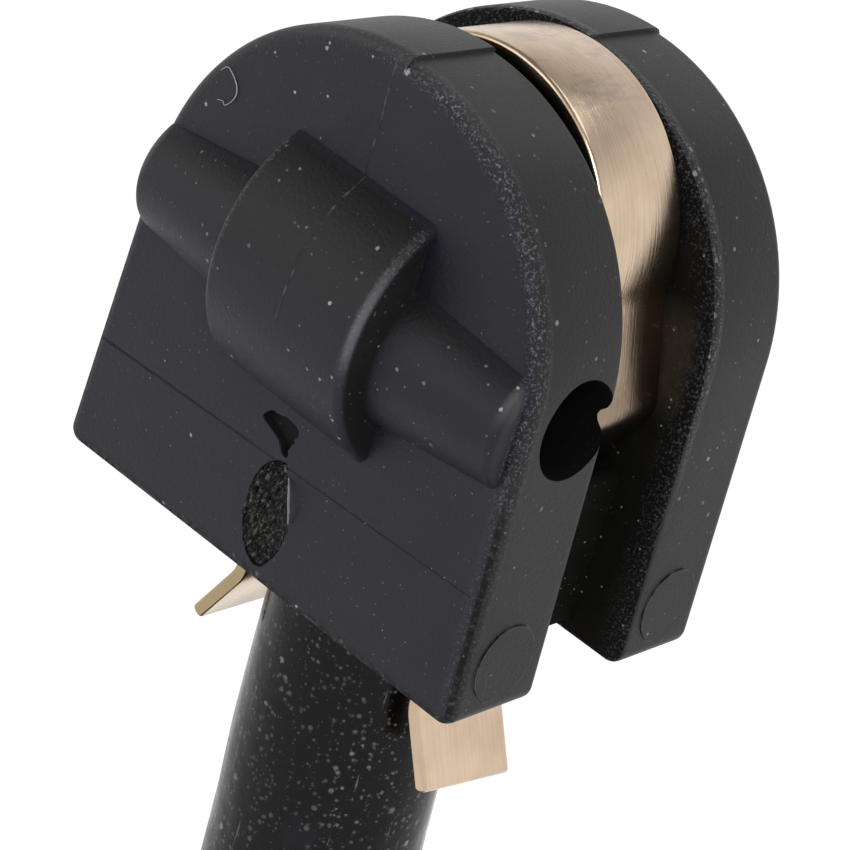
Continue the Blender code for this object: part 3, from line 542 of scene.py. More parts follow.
def make_ridges():
    """One bar through the barrel that tapers towards the cheek's sides."""
    tip = CHEEK_WIDTH / 2 - RIDGE_MARGIN
    taper = (RIDGE_ROOT_RADIUS - RIDGE_TIP_RADIUS) / (tip - BARREL_HALF_LENGTH)
    steps = rim_steps(-tip, tip, RIDGE_RIM, RIDGE_RIM)
    middle = len(steps) // 2
    steps[middle:middle] = [(-BARREL_HALF_LENGTH, 0.0), (BARREL_HALF_LENGTH, 0.0)]
    axis = (FRONT_Y + RIDGE_DEPTH, ARCH_CENTRE)
    rings = []
    for x, inset in steps:
        radius = RIDGE_ROOT_RADIUS - taper * (abs(x) - BARREL_HALF_LENGTH) - inset
        risen = (axis[0], axis[1] + RIDGE_LIFT * ramp(-x, 0.0, BARREL_HALF_LENGTH))
        rings.append(along_x(x, d_section(risen, radius, FRONT_Y + ROOT_SINK / 2)))
    return loft("ridges", rings)


# %% [markdown]
# The web between the cheeks follows the strip: a core inside its legs and a block outside each
# of them leave a channel as wide as the strip and its fit gap. So the strip's sizes come first,
# and both sides of a channel are drawn from the middle line of the leg.

# %% The strip's sizes
STRIP_WIDTH = 3.35
STRIP_THICK = 0.45
STRIP_RADIUS = 5.0
STRIP_NECK_DROP = 0.3
STRIP_NECK_RADIUS = 1.5
STRIP_LEAN = 1.0             # how far a foot stands out from the arch
STRIP_FOOT_HEIGHT = 7.8
STRIP_FOOT_RADIUS = 0.7
STRIP_KNEE_HEIGHT = 3.6
STRIP_KNEE_RADIUS = 1.6
STRIP_CABLE_GAP = 0.2
STRIP_CENTRE = ARCH_CENTRE + ARCH_RADIUS - STRIP_RADIUS
STRIP_PATH_RADIUS = STRIP_RADIUS - STRIP_THICK / 2
FOOT_X = STRIP_PATH_RADIUS + STRIP_LEAN
TAIL_X = CABLE_RADIUS + STRIP_CABLE_GAP + STRIP_THICK / 2
print("strip from", TAIL_X, "to", FOOT_X, "mm beside the middle")

# %% Web
BLOCK_WALL = 1.35
BLOCK_SHOULDER = 0.3
BLOCK_LAND = 0.1             # flat on top, between the channel and the shoulder
BLOCK_LIFT = 0.5             # above the cheeks' bottom
CORE_LIFT = 0.1
WEB_SINK = 0.4               # how far the web reaches into each cheek
WEB_REACH = SLOT_WIDTH / 2 + WEB_SINK
CHANNEL_HALF = STRIP_THICK / 2 + FIT_GAP


def channel_line(offset, height):
    """x of a line beside the slanted part of a leg, at a height. A positive offset is outside."""
    run = FOOT_X - TAIL_X
    rise = STRIP_FOOT_HEIGHT - STRIP_KNEE_HEIGHT
    return TAIL_X + (height - STRIP_KNEE_HEIGHT) * run / rise + offset * math.hypot(run, rise) / rise


def channel_height(offset, x):
    """The height at which that line passes an x."""
    base = channel_line(offset, STRIP_KNEE_HEIGHT)
    slope = channel_line(offset, STRIP_KNEE_HEIGHT + 1.0) - base
    return STRIP_KNEE_HEIGHT + (x - base) / slope


def make_web_core():
    side = STRIP_RADIUS - STRIP_THICK - FIT_GAP
    foot = SOCKET_DEPTH + CORE_LIFT
    half = [(channel_line(-CHANNEL_HALF, foot), foot)]
    half.append((side, channel_height(-CHANNEL_HALF, side)))
    half += arc((0.0, STRIP_CENTRE), side, 0.0, math.pi / 2)
    outline = half + [(-x, height) for x, height in half[-2::-1]]
    return loft("web_core", [along_y(y, outline) for y in (-WEB_REACH, WEB_REACH)])


def make_web_block(side):
    inner = TAIL_X + CHANNEL_HALF
    outer = inner + BLOCK_WALL
    land = outer - BLOCK_SHOULDER - BLOCK_LAND
    top = channel_height(CHANNEL_HALF, land)
    outline = [(inner, BLOCK_LIFT), (outer, BLOCK_LIFT)]
    shoulder = (outer - BLOCK_SHOULDER, top - BLOCK_SHOULDER)
    outline += arc(shoulder, BLOCK_SHOULDER, 0.0, math.pi / 2, math.radians(10.0))
    outline.append((land, top))
    outline.append((inner, channel_height(CHANNEL_HALF, inner)))
    outline = [(side * x, height) for x, height in outline]
    return loft("web_block", [along_y(y, outline) for y in (-WEB_REACH, WEB_REACH)])


# %% [markdown]
# The cable and its leads come up from below, through a socket and a pocket, to a window that
# opens into the bore. The bore runs across the whole head. At its right end it leans to the slot
# and breaks into it, which leaves a notch in the cheek.

# %% The head with its cuts
LEAD_SPACING = 2.3
CRIMP_DIAMETER = 1.9
WINDOW_HALF_HEIGHT = 0.9
WINDOW_HALF_WIDTH = 1.9
POCKET_HEADROOM = 0.4
WALL_SHIFT = 0.08            # leaves a thin wall between the bore and the slot
BITE_START = 6.1             # the bore leans to the slot from this x and breaks into it
BITE_END = 6.9
BITE_SHIFT = 0.03


def make_rod(name, outline, heights, centre=(0.0, 0.0)):
    """An upright bar with an outline seen from above."""
    return loft(name, [along_z(height, outline, centre) for height in heights])


def make_head():
    head = make_cheek("head_moulding", -1, FRONT_THICK)
    solids = [make_cheek("rear_cheek", 1, REAR_THICK), make_web_core(), make_barrel(), make_ridges()]
    combine(head, solids + [make_web_block(side) for side in (1, -1)], "UNION")
    rings = []
    for x in (-CHEEK_WIDTH, BITE_START, BITE_END, CHEEK_WIDTH):
        middle = BORE_Y + (BITE_SHIFT if x > BITE_START else -WALL_SHIFT)
        rings.append([place(x, middle + y, ARCH_CENTRE + z) for y, z in circle(BORE_DIAMETER / 2)])
    bore_cut = loft("bore_cut", rings)
    socket_cut = make_rod("socket_cut", circle(CABLE_RADIUS + FIT_GAP), (-1.0, SOCKET_DEPTH))
    pocket_depth = CRIMP_DIAMETER / 2 + FIT_GAP
    pocket = rounded_rectangle(LEAD_SPACING / 2 + pocket_depth, pocket_depth, pocket_depth * 0.98)
    pocket_top = ARCH_CENTRE + WINDOW_HALF_HEIGHT + POCKET_HEADROOM
    pocket_cut = make_rod("pocket_cut", pocket, (SOCKET_DEPTH - 0.1, pocket_top))
    window = rounded_rectangle(WINDOW_HALF_WIDTH, -BORE_Y / 2, 0.3)
    heights = (ARCH_CENTRE - WINDOW_HALF_HEIGHT, ARCH_CENTRE + WINDOW_HALF_HEIGHT)
    window_cut = make_rod("window_cut", window, heights, (0.0, BORE_Y / 2))
    combine(head, [bore_cut, socket_cut, pocket_cut, window_cut], "DIFFERENCE")
    return head


head = make_head()
print("head", len(head.data.polygons), "faces")

# %% [markdown]
# ## Marks that the mould leaves
#
# Ejector pins leave a round pad on the right edge of each cheek that stands a little proud. A
# fine groove runs across the front face where two blocks of the mould meet. Below the barrel the
# runner was torn off: its scar lies in a shallow leaf-shaped recess, and a lump came out above
# it. Bump could draw all of these, but they are real shapes here, joined to the mesh or cut from
# it.

# %% Ejector pads and the groove of the mould's blocks
EJECTOR_RADIUS = 1.18
EJECTOR_HEIGHT = 1.76
EJECTOR_RISE = 0.04
SIDE_LEAN = math.radians(3.84)        # a cheek's side from upright
SIDE_AT_EJECTOR = 7.467               # x of the right side at the marks' height
GROOVE_LEFT = (-8.3, 3.62, 0.05)      # x, height and depth at its two ends
GROOVE_RIGHT = (7.0, 4.03, 0.02)
EJECTOR_FRONT_Y = -SLOT_WIDTH / 2 - FRONT_THICK / 2
EJECTOR_REAR_Y = SLOT_WIDTH / 2 + REAR_THICK / 2
PAD_ROOT = 0.5                        # how far a pad reaches into the cheek
CUT_MARGIN = 0.5                      # how far a cut starts in front of the face


def ejector_pad(y):
    out = Vector((math.cos(SIDE_LEAN), 0.0, math.sin(SIDE_LEAN)))
    up = Vector((-math.sin(SIDE_LEAN), 0.0, math.cos(SIDE_LEAN)))
    middle = Vector((SIDE_AT_EJECTOR, y, EJECTOR_HEIGHT))
    rings = []
    for depth in (-PAD_ROOT, EJECTOR_RISE):
        spots = [middle + out * depth + up * v + Vector((0.0, u, 0.0)) for u, v in circle(EJECTOR_RADIUS)]
        rings.append([place(*spot) for spot in spots])
    return loft("ejector_pad", rings)


def groove_cut():
    rings = []
    for x, height, depth in (GROOVE_LEFT, GROOVE_RIGHT):
        corners = ((-depth, 0.0), (0.0, -depth), (depth, 0.0), (0.0, depth))
        rings.append([place(x, FRONT_Y + u, height + v) for u, v in corners])
    return loft("groove_cut", rings)


# %% The runner's scar
SCAR_OUTLINE = (
    (-0.2, 3.95), (-0.75, 3.7), (-1.12, 3.1), (-1.2, 2.4), (-1.14, 1.6), (-0.85, 0.9), (-0.3, 0.55),
    (0.1, 0.78), (0.42, 1.5), (0.46, 2.3), (0.24, 3.0), (0.02, 3.5),
)
SCAR_DEPTH = 0.13
SCAR_CRACK = 0.09            # gap left beside the torn fibres
SCAR_JAG = 0.11
TORN_OUTLINE = (
    (-1.48, 4.77), (-1.22, 5.08), (-0.9, 5.11), (-0.61, 5.18), (-0.11, 5.05), (-0.11, 4.73),
    (-0.24, 4.43), (-0.27, 4.09), (-0.5, 4.15), (-0.72, 4.41), (-1.07, 4.56),
)
TORN_DEPTH = 0.3             # of the pit that the lump left
SCAR_ROWS, SCAR_COLUMNS = 110, 56
SCAR_END = 0.08              # the skin ends this far from the tips of the outline
SCAR_SIDE = 0.01             # and this far from its left side
SCAR_BACK = 0.1              # the skin reaches this far behind the recess
FIBRE_RISE = 0.14
LUMP_RISE = 0.06
MEAN_RISE = 0.09


def round_outline(corners, steps=5):
    """A closed line through the corners, smooth but for a little jaggedness."""
    points = []
    count = len(corners)
    for k in range(count):
        a, b, c, d = (Vector(corners[(k + j) % count]) for j in (-1, 0, 1, 2))
        for i in range(steps):
            point = smooth_point(a, b, c, d, i / steps)
            jag = noise.noise(Vector((k * 1.3 + i / steps * 2.6, count, 0.0))) * SCAR_JAG
            points.append((point.x + jag, point.y))
    return points


def face_cut(name, outline, depth):
    """A cut of an outline into the front face."""
    return loft(name, [along_y(y, outline) for y in (FRONT_Y - CUT_MARGIN, FRONT_Y + depth)])


def scar_span(height):
    """Left and right x of the scar at a height."""
    outline = round_outline(SCAR_OUTLINE)
    hits = []
    for (x0, h0), (x1, h1) in zip(outline, outline[1:] + outline[:1]):
        if (h0 - height) * (h1 - height) < 0:
            hits.append(x0 + (x1 - x0) * (height - h0) / (h1 - h0))
    return min(hits), max(hits)


def make_scar():
    """Torn fibres: a rough skin over the recess, deep at its edges, with a flat back."""
    heights = [h for x, h in SCAR_OUTLINE]
    low, high = min(heights) + SCAR_END, max(heights) - SCAR_END
    bm = bmesh.new()
    front, back = [], []
    for row in range(SCAR_ROWS + 1):
        height = low + (high - low) * row / SCAR_ROWS
        left, right = scar_span(height)
        left, right = left + SCAR_SIDE, right - SCAR_CRACK
        for column in range(SCAR_COLUMNS + 1):
            share = column / SCAR_COLUMNS
            x = left + (right - left) * share
            fibre = noise.fractal(Vector((x * 8.0, height * 3.0, 0.0)), 0.5, 2.3, 4)
            lump = noise.noise(Vector((x * 1.6, height * 1.1, 4.0)))
            edge = min(1.0, 0.95 + share, 7.0 * (1 - share), 0.4 + 6.0 * row / SCAR_ROWS)
            rise = -SCAR_DEPTH * 0.75 + edge * (MEAN_RISE + FIBRE_RISE * fibre + LUMP_RISE * lump)
            front.append(bm.verts.new(place(x, FRONT_Y - rise, height)))
            back.append(bm.verts.new(place(x, FRONT_Y + SCAR_DEPTH + SCAR_BACK, height)))

    wide = SCAR_COLUMNS + 1
    for row in range(SCAR_ROWS):
        for column in range(SCAR_COLUMNS):
            corner = row * wide + column
            quad = (corner, corner + 1, corner + wide + 1, corner + wide)
            bm.faces.new([front[k] for k in quad])
            bm.faces.new([back[k] for k in reversed(quad)])
    rim = list(range(wide)) + [row * wide + SCAR_COLUMNS for row in range(1, SCAR_ROWS + 1)]
    rim += [SCAR_ROWS * wide + column for column in range(SCAR_COLUMNS - 1, -1, -1)]
    rim += [row * wide for row in range(SCAR_ROWS - 1, 0, -1)]
    for a, b in zip(rim, rim[1:] + rim[:1]):
        bm.faces.new((front[b], front[a], back[a], back[b]))
    return piece_from("runner_scar", bm, 60.0)


scar_cut = face_cut("scar_cut", round_outline(SCAR_OUTLINE), SCAR_DEPTH)
torn_cut = face_cut("torn_cut", round_outline(TORN_OUTLINE, 3), TORN_DEPTH)
combine(head, [groove_cut(), scar_cut, torn_cut], "DIFFERENCE")
combine(head, [ejector_pad(EJECTOR_FRONT_Y), ejector_pad(EJECTOR_REAR_Y)], "UNION")
scar = make_scar()
print("marked head", len(head.data.polygons), "faces, scar", len(scar.data.polygons))

# %% [markdown]
# A thin flake still hangs beside the scar, and a stray hair lies on the face. Both are threads:
# a round section that follows a smooth line and gets thinner at its ends.

# %% The flake and the hair
FLAKE_ROUTE = ((0.04, 3.62, 0.0), (0.22, 3.42, 0.1), (0.4, 3.12, 0.18), (0.5, 2.8, 0.16), (0.5, 2.4, 0.04))
FLAKE_RADIUS = 0.04
HAIR_ROUTE = (
    (-6.25, 13.0, 0.0), (-6.04, 13.2, 0.02), (-5.86, 13.17, 0.03), (-5.64, 13.0, 0.02),
    (-5.5, 12.84, 0.03), (-5.46, 12.62, 0.02), (-5.58, 12.36, 0.02), (-5.78, 12.17, 0.01),
    (-5.86, 12.26, 0.03), (-6.1, 12.19, 0.0),
)
HAIR_RADIUS = 0.016


def make_thread(name, route, radius):
    """A thin round thread that lies on the front face; its ends are closed."""
    corners = [Vector((x, FRONT_Y - proud - radius / 2, height)) for x, height, proud in route]
    points = smooth_route(corners, 0.03)
    rings = []
    for k, point in enumerate(points):
        ahead = (points[min(k + 1, len(points) - 1)] - points[max(k - 1, 0)]).normalized()
        side = ahead.cross(Vector((0.0, 1.0, 0.0))).normalized()
        other = ahead.cross(side)
        thin = radius * (0.55 + 0.45 * math.sin(math.pi * k / (len(points) - 1)))
        rings.append([place(*(point + side * u * thin + other * v * thin)) for u, v in circle(1.0, 8)])
    return loft(name, rings)


flake = make_thread("torn_flake", FLAKE_ROUTE, FLAKE_RADIUS)
hair = make_thread("hair", HAIR_ROUTE, HAIR_RADIUS)
print("flake", len(flake.data.polygons), "faces, hair", len(hair.data.polygons))

# %% Which walls lie in the bore and in the slot
BORE_MARGIN = 0.09
SLOT_MARGIN = 0.1


def inner_walls(polygon):
    """0 outside, 1 in the bore, 2 between the cheeks."""
    x, y, height = polygon.center / MM + Vector((0.0, 0.0, ARCH_CENTRE))
    from_bore = math.hypot(y - BORE_Y, height - ARCH_CENTRE)
    if from_bore < BORE_DIAMETER / 2 + BORE_MARGIN and abs(polygon.normal.x) < 0.5:
        return 1
    return 2 if abs(y) < SLOT_WIDTH / 2 + SLOT_MARGIN else 0


for polygon in head.data.polygons:
    polygon.material_index = inner_walls(polygon)
print("bore walls", sum(polygon.material_index == 1 for polygon in head.data.polygons))

# %% [markdown]
# ## The spring clip
#
# The clip is one strip of rolled bronze, bent over the web like a saddle. Its legs lean out to a
# foot, turn into the web, and end in two short tails that flare away from the cable. The middle
# line is drawn as corners with radii, as a bending drawing gives it, and the strip is the same
# outline on both sides of that line, lofted across its width. Bending is never exact: the arch
# comes out wider than the tails, and the right tail is a little twisted. So the straight loft is
# bent by hand at the end.

# %% The strip
TAIL_DROP = 2.9
TAIL_RADIUS = 1.2
TAIL_FLARE = math.radians(29.0)
TAIL_LENGTH = 2.5
STRIP_RIM = 0.13
TIP_ROUND = 0.55             # how far a tail's tip bulges, as a share of half its thickness
TIP_TURNS = [math.radians(angle) for angle in (30.0, 60.0, 90.0, 120.0, 150.0)]


def rounded_path(corners):
    """Straight runs with round corners. Each corner is x, height, radius."""
    points = [corners[0][:2]]
    for before, here, after in zip(corners, corners[1:], corners[2:]):
        a = (Vector(before[:2]) - Vector(here[:2])).normalized()
        b = (Vector(after[:2]) - Vector(here[:2])).normalized()
        half = a.angle(b) / 2
        centre = Vector(here[:2]) + (a + b).normalized() * here[2] / math.sin(half)
        first = Vector(here[:2]) + a * here[2] / math.tan(half) - centre
        last = Vector(here[:2]) + b * here[2] / math.tan(half) - centre
        sweep = math.atan2(first.x * last.y - first.y * last.x, first.dot(last))
        start = math.atan2(first.y, first.x)
        points += arc(centre, here[2], start, start + sweep)
    return points + [corners[-1][:2]]


def strip_path():
    tip_x = TAIL_X + TAIL_LENGTH * math.sin(TAIL_FLARE)
    tip_height = -TAIL_DROP - TAIL_LENGTH * math.cos(TAIL_FLARE)
    leg = rounded_path((
        (STRIP_PATH_RADIUS, STRIP_CENTRE, 0.0),
        (STRIP_PATH_RADIUS, STRIP_CENTRE - STRIP_NECK_DROP, STRIP_NECK_RADIUS),
        (FOOT_X, STRIP_FOOT_HEIGHT, STRIP_FOOT_RADIUS),
        (TAIL_X, STRIP_KNEE_HEIGHT, STRIP_KNEE_RADIUS),
        (TAIL_X, -TAIL_DROP, TAIL_RADIUS),
        (tip_x, tip_height, 0.0),
    ))
    right = arc((0.0, STRIP_CENTRE), STRIP_PATH_RADIUS, math.pi / 2, 0.0) + leg[1:]
    return [(-x, height) for x, height in right[:0:-1]] + right


def strip_outline(inset):
    """Both faces of the strip, closed round its bulging ends."""
    path = [Vector(corner) for corner in strip_path()]
    half = STRIP_THICK / 2 - inset
    bulge = half * TIP_ROUND
    first = (path[1] - path[0]).normalized()
    last = (path[-1] - path[-2]).normalized()
    path[0] += first * (inset + bulge)
    path[-1] -= last * (inset + bulge)

    def tip(at, out):
        """The bulge at an end of the strip, from one face to the other."""
        aside = Vector((-out.y, out.x))
        steps = [(math.sin(turn) * bulge, math.cos(turn) * half) for turn in TIP_TURNS]
        return [tuple(at + out * ahead + aside * across) for ahead, across in steps]

    outer, inner = [], []
    for k, corner in enumerate(path):
        direction = path[min(k + 1, len(path) - 1)] - path[max(k - 1, 0)]
        normal = Vector((-direction.y, direction.x)).normalized() * half
        outer.append(tuple(corner + normal))
        inner.append(tuple(corner - normal))
    return outer + tip(path[-1], last) + inner[::-1] + tip(path[0], -first)


steps = rim_steps(-STRIP_WIDTH / 2, STRIP_WIDTH / 2, STRIP_RIM, STRIP_RIM, 4)
strip = loft("clip_strip", [along_y(y, strip_outline(inset)) for y, inset in steps])

# %% What bending did to it
TWIST = math.tan(math.radians(7.5))
ARCH_SPREAD = 0.04           # the arch is this share wider than the tails
ARCH_SHIFT = 0.13            # and sits this far back and up in its slot
ARCH_BACK = (4.0, 8.0)       # heights between which it moves back
ARCH_UP = (10.0, 15.0)       # heights between which it moves up
TWIST_DROP = (0.5, 2.5)      # below the head, where the tail twists
for vertex in strip.data.vertices:
    height = vertex.co.z / MM + ARCH_CENTRE
    vertex.co.y += (vertex.co.y * ARCH_SPREAD + ARCH_SHIFT * MM) * ramp(height, *ARCH_BACK)
    vertex.co.z += ARCH_SHIFT * MM * ramp(height, *ARCH_UP)
    if vertex.co.x > 0.0:
        vertex.co.x += (vertex.co.y + STRIP_WIDTH / 2 * MM) * TWIST * ramp(-height, *TWIST_DROP)
print("strip", len(strip.data.polygons), "faces")

# %% [markdown]
# ## Finishes
#
# Black moulded nylon is never plain: the tool leaves a fine grain, the rims are rougher than the
# faces, and handling leaves pale dust. The head's finish also paints light and shade: glints on
# the rough rims, highlights on the barrel and the ridge tips, and shade on the barrel's top and
# ends, in the torn pit and low on the edge faces, which are lighter on top of the arch. Masks for
# these are worked out from the place on the piece, in millimetres, so that they stay where they
# belong. Each group of masks is a function that gives them back by name, and the finish at the end
# lays them over each other.

# %% Head: the worn rims
SIDE_SPREAD = 0.065          # how much a cheek's side leans out for each millimetre down


def past_rim(f):
    """How far a place lies outside a cheek's arch and sides, seen from the front."""
    x, y, z = f.axes()
    side = (x - CHEEK_OFFSET).size() + z.least(0.0) * SIDE_SPREAD
    above = z.most(0.0)
    return f.maths("SQRT", side * side + above * above) - ARCH_RADIUS


def head_rims(f):
    """Masks of the cheeks' rims: front, its low corner, the slot's rim and the bottom's."""
    x, y, z = f.axes()
    depth, past = y - FRONT_Y, past_rim(f)
    arched = z.rise(-3.0, -1.0)
    front = past.rise(-0.58, -0.3) * depth.rise(-0.25, -0.05) * depth.fall(0.15, 0.6)
    front = front * (arched * 0.6 + 0.4) * (x.rise(-2.5, 2.5) * 0.85 + 0.15)
    corner = past.rise(-0.24, -0.16) * past.fall(-0.08, -0.02)
    corner = corner * depth.rise(-0.2, -0.1) * depth.fall(0.15, 0.25) * (1 - arched)
    slot = (y - SLOT_WIDTH / 2).around(0.15, 0.14, 0.34) * z.rise(-4.5, -0.5)
    low = (z + ARCH_CENTRE).fall(0.12, 0.5) * depth.fall(0.3, 0.6)
    return SimpleNamespace(front=front, corner=corner, slot=slot, low=low)


# %% Head: light and shade on the barrel and the ridges
def barrel_light(f):
    """Masks of painted light and shade on the barrel's rough rim, ends, lower edge and top, and the ridge
    tips.
    """
    x, y, z = f.axes()
    depth = y - FRONT_Y
    off_front = depth.fall(-0.35, -0.1)
    end = (x - CHEEK_OFFSET - BARREL_SHIFT).size() - BARREL_HALF_LENGTH
    tip = (x - CHEEK_OFFSET).size() - (CHEEK_WIDTH / 2 - RIDGE_MARGIN)
    on_right = x.rise(0.0, 1.0)
    # Painted highlights: a band on the right end's rim, a line on the left end and a band along the lower
    # edge.
    band = end.around(-0.12, 0.03, 0.19) * z.rise(-0.6, 0.8) * (1.1 - z.rise(1.6, 3.4)) * on_right
    line = end.around(-0.06, 0.02, 0.07) * 0.6 * (1 - on_right)
    below = depth.around(-0.38, 0.08, 0.36) * z.fall(-1.5, -0.6) * (1 - end.rise(-0.4, 0.0) * on_right)
    # Painted light and shade: glints on the rim, highlights on the ends and lower edge, shade on the top and
    # the ends, a highlight on the ridge tips.
    return SimpleNamespace(
        rim=off_front * end.around(-0.12, 0.06, 0.26) * z.rise(-1.5, 1.0) * 0.6,
        painted_highlight=off_front * band.most(line).most(below * 0.5),
        top=off_front * z.rise(0.6, 2.0),
        end=off_front * end.rise(-0.06, 0.0) * end.fall(0.1, 0.3),
        tip=off_front * tip.around(-0.12, 0.08, 0.25) * z.rise(0.2, 1.2),
    )


# %% Head: what the mould left
def mould_marks(f):
    """Masks of the seam between the mould's halves, the pale lines and the torn pit."""
    x, y, z = f.axes()
    depth = y - FRONT_Y
    wander = f.noise(0.8, 2.0) * 0.24 - 0.12
    parting = (x - CHEEK_OFFSET - 0.17 + wander + z * 0.035).size()
    seam = parting.fall(0.015, 0.05) * depth.fall(0.0, 0.3) * z.rise(-0.5, 1.5)
    beside = (y - EJECTOR_FRONT_Y).size().least((y - EJECTOR_REAR_Y).size())
    above = z + (ARCH_CENTRE - EJECTOR_HEIGHT)
    from_pad = f.maths("SQRT", beside * beside + above * above)
    ring = from_pad.around(EJECTOR_RADIUS, 0.02, 0.06) * x.rise(5.0, 6.0)
    pit = depth.rise(0.02, 0.06) * depth.fall(0.5, 0.6) * x.around(-0.4, 1.2, 1.5)
    pit = pit * z.rise(-5.3, -5.1) * z.fall(-2.2, -1.8)
    broken = f.noise(3.0, 2.0)
    pale = (seam * broken.rise(0.48, 0.62)).most(ring * broken.rise(0.45, 0.6) * 0.6)
    return SimpleNamespace(seam=seam, pale=pale, pit=pit)


# %% Head: dust
PALE_DUST = (0.42, 0.42, 0.43)
BIG_DUST = (                 # x, height and radius
    (-2.88, 15.26, 0.09), (-2.83, 15.43, 0.06), (-1.32, 15.75, 0.06), (-0.12, 15.88, 0.12),
    (-4.56, 14.32, 0.06), (-3.52, 13.66, 0.07), (-2.4, 14.09, 0.06), (-6.45, 11.87, 0.08),
    (-3.77, 2.78, 0.07), (1.56, 0.3, 0.08),
)


def head_dust(f, rims):
    """A mask of specks: a few big ones on the front at set places, the others in clusters."""
    x, y, z = f.axes()
    on_face = f.node("ShaderNodeCombineXYZ", None, {0: x, 1: z})
    at_front = (y - FRONT_Y).fall(0.5, 0.8)
    ragged = f.noise(14.0, 2.0) * 1.2 - 0.5
    clusters = f.noise(0.5, 2.0).rise(0.36, 0.66)
    dust = f.specks(2.3, 0.5, 0.08) * (clusters * 0.7 + 0.3)
    for spot_x, height, radius in BIG_DUST:
        sockets = {0: on_face, 1: (spot_x, height - ARCH_CENTRE, 0.0)}
        away = f.node("ShaderNodeVectorMath", {"operation": "DISTANCE"}, sockets, "Value")
        dust = dust.most((away + ragged * radius).fall(radius * 0.5, radius) * at_front)
    fine = f.specks(5.0, 0.4, 0.05) * (clusters * 0.8 + 0.2)
    by_rim = f.specks(4.2, 0.6, 0.09) * (rims.slot * 0.7 + rims.low)
    return dust.most(fine * 0.4).most(by_rim)


# %% Head: the finish, from the ground up
def head_finish():
    f = Finish("grained_nylon", (0.009, 0.009, 0.011), 0.5, specular=0.3)
    x, y, z = f.axes()
    rims, barrel, marks = head_rims(f), barrel_light(f), mould_marks(f)
    dirt = head_dust(f, rims)
    grain = f.noise(9.0, 4.0, 0.65)
    sparkle = f.noise(12.0, 3.0, 0.75).rise(0.5, 0.7)
    # The rims are rough, and their pale bluish sparkle in the colour is painted glints.
    rough_glinting_rim = rims.front.most(rims.slot).most(barrel.rim)
    chips = rims.low * f.noise(4.0, 3.0).rise(0.42, 0.55)
    broken_corner = rims.corner * f.noise(5.0, 2.0).rise(0.3, 0.55)
    # Chips and broken corners are wear; the torn pit and the barrel's ends get painted shade.
    worn_and_shaded = chips.most(marks.pit).most(broken_corner).most(barrel.end)

    front = f.blend(f.noise(0.5, 3.0), (0.0075, 0.007, 0.0125), (0.012, 0.0112, 0.019))
    # Painted shade on the barrel's top.
    front = f.blend(barrel.top, front, (0.0045, 0.0044, 0.0042))
    # Painted shade and light on the edge faces: darker towards the bottom, lighter on top of the arch.
    edges = f.blend(z.rise(-7.0, 0.0), (0.0055, 0.0055, 0.0053), (0.0108, 0.0108, 0.0105))
    edges = f.blend(z.rise(5.6, 7.2), edges, 0.03)
    surface = f.blend(past_rim(f).rise(-0.25, -0.05), front, edges)
    # Painted highlights on the barrel's ends and along its lower edge.
    surface = f.blend(barrel.painted_highlight * 0.6, surface, (0.15, 0.152, 0.17))
    # Painted glints on the rough rims of the front, the slot and the barrel.
    surface = f.blend(rough_glinting_rim * sparkle * 0.85, surface, (0.19, 0.195, 0.23))
    # Pale seam and pad rings, and a painted highlight on the ridge tips.
    surface = f.blend(marks.pale.most(barrel.tip * 0.8) * 0.3, surface, (0.2, 0.2, 0.19))
    # Near black: wear on chips and corners, painted shade in the torn pit and at the barrel's ends.
    surface = f.blend(worn_and_shaded * 0.9, surface, 0.001)
    f.set("Base Color", f.blend(dirt * 0.85, surface, PALE_DUST))
    f.set("Roughness", 0.4 + grain * 0.14 + dirt * 0.3 + worn_and_shaded * 0.35)
    coarse = 0.55 + rough_glinting_rim * 1.6 + rims.low * 2.0 + marks.pit
    f.bump(grain * coarse + dirt * 0.6 + marks.seam * 0.8, 0.035)
    return f.material


# %% [markdown]
# The walls of the bore and the slot are painted darker than the faces, as painted shade, because
# hardly any light gets in; much dust gets in too, and the slot's rims get painted glints. They are
# the same moulding, so they get two more materials of the head rather than a piece of their own.
# The scar's torn fibres are darker, with pale ends.


# %% Bore and slot walls, and the scar
def inner_finish(name, colour, dust_and_glints):
    f = Finish(name, colour, 0.85, specular=0.12)
    x, y, z = f.axes()
    past = past_rim(f)
    darker = tuple(part * 0.6 for part in colour)
    surface = f.blend(f.noise(0.6, 2.0).rise(0.45, 0.7), darker, colour)
    by_strip = z.around(0.5, 0.8, 2.0) * past.around(-1.23, 0.4, 1.0) * dust_and_glints
    surface = f.blend(by_strip * f.noise(2.0, 4.0, 0.7), surface, (0.05, 0.036, 0.022))
    # Painted glints on the slot's rough rims.
    rough = f.noise(12.0, 3.0, 0.75).rise(0.5, 0.7) * past.rise(-1.1, 0.0) * dust_and_glints
    surface = f.blend(rough * 0.5, surface, (0.16, 0.165, 0.19))
    dust = f.specks(3.0, 0.35, 0.045).most(f.specks(7.0, 0.4, 0.02) * 0.6) * dust_and_glints
    f.set("Base Color", f.blend(dust * 0.6, surface, PALE_DUST))
    f.bump(f.noise(8.0, 3.0), 0.03)
    return f.material


def scar_finish():
    f = Finish("torn_nylon", 0.012, 0.55, specular=0.25)
    fibres = f.noise(1.0, 4.0, 0.7, f.stretched(14.0, 6.0, 4.0))
    pale = f.noise(1.0, 3.0, 0.7, f.stretched(12.0, 6.0, 5.0)).rise(0.5, 0.72)
    f.set("Base Color", f.blend(pale, (0.002, 0.002, 0.0018), (0.16, 0.16, 0.15)))
    f.set("Roughness", 0.4 + fibres * 0.3)
    f.bump(fibres, 0.05)
    return f.material


head.data.materials.append(head_finish())
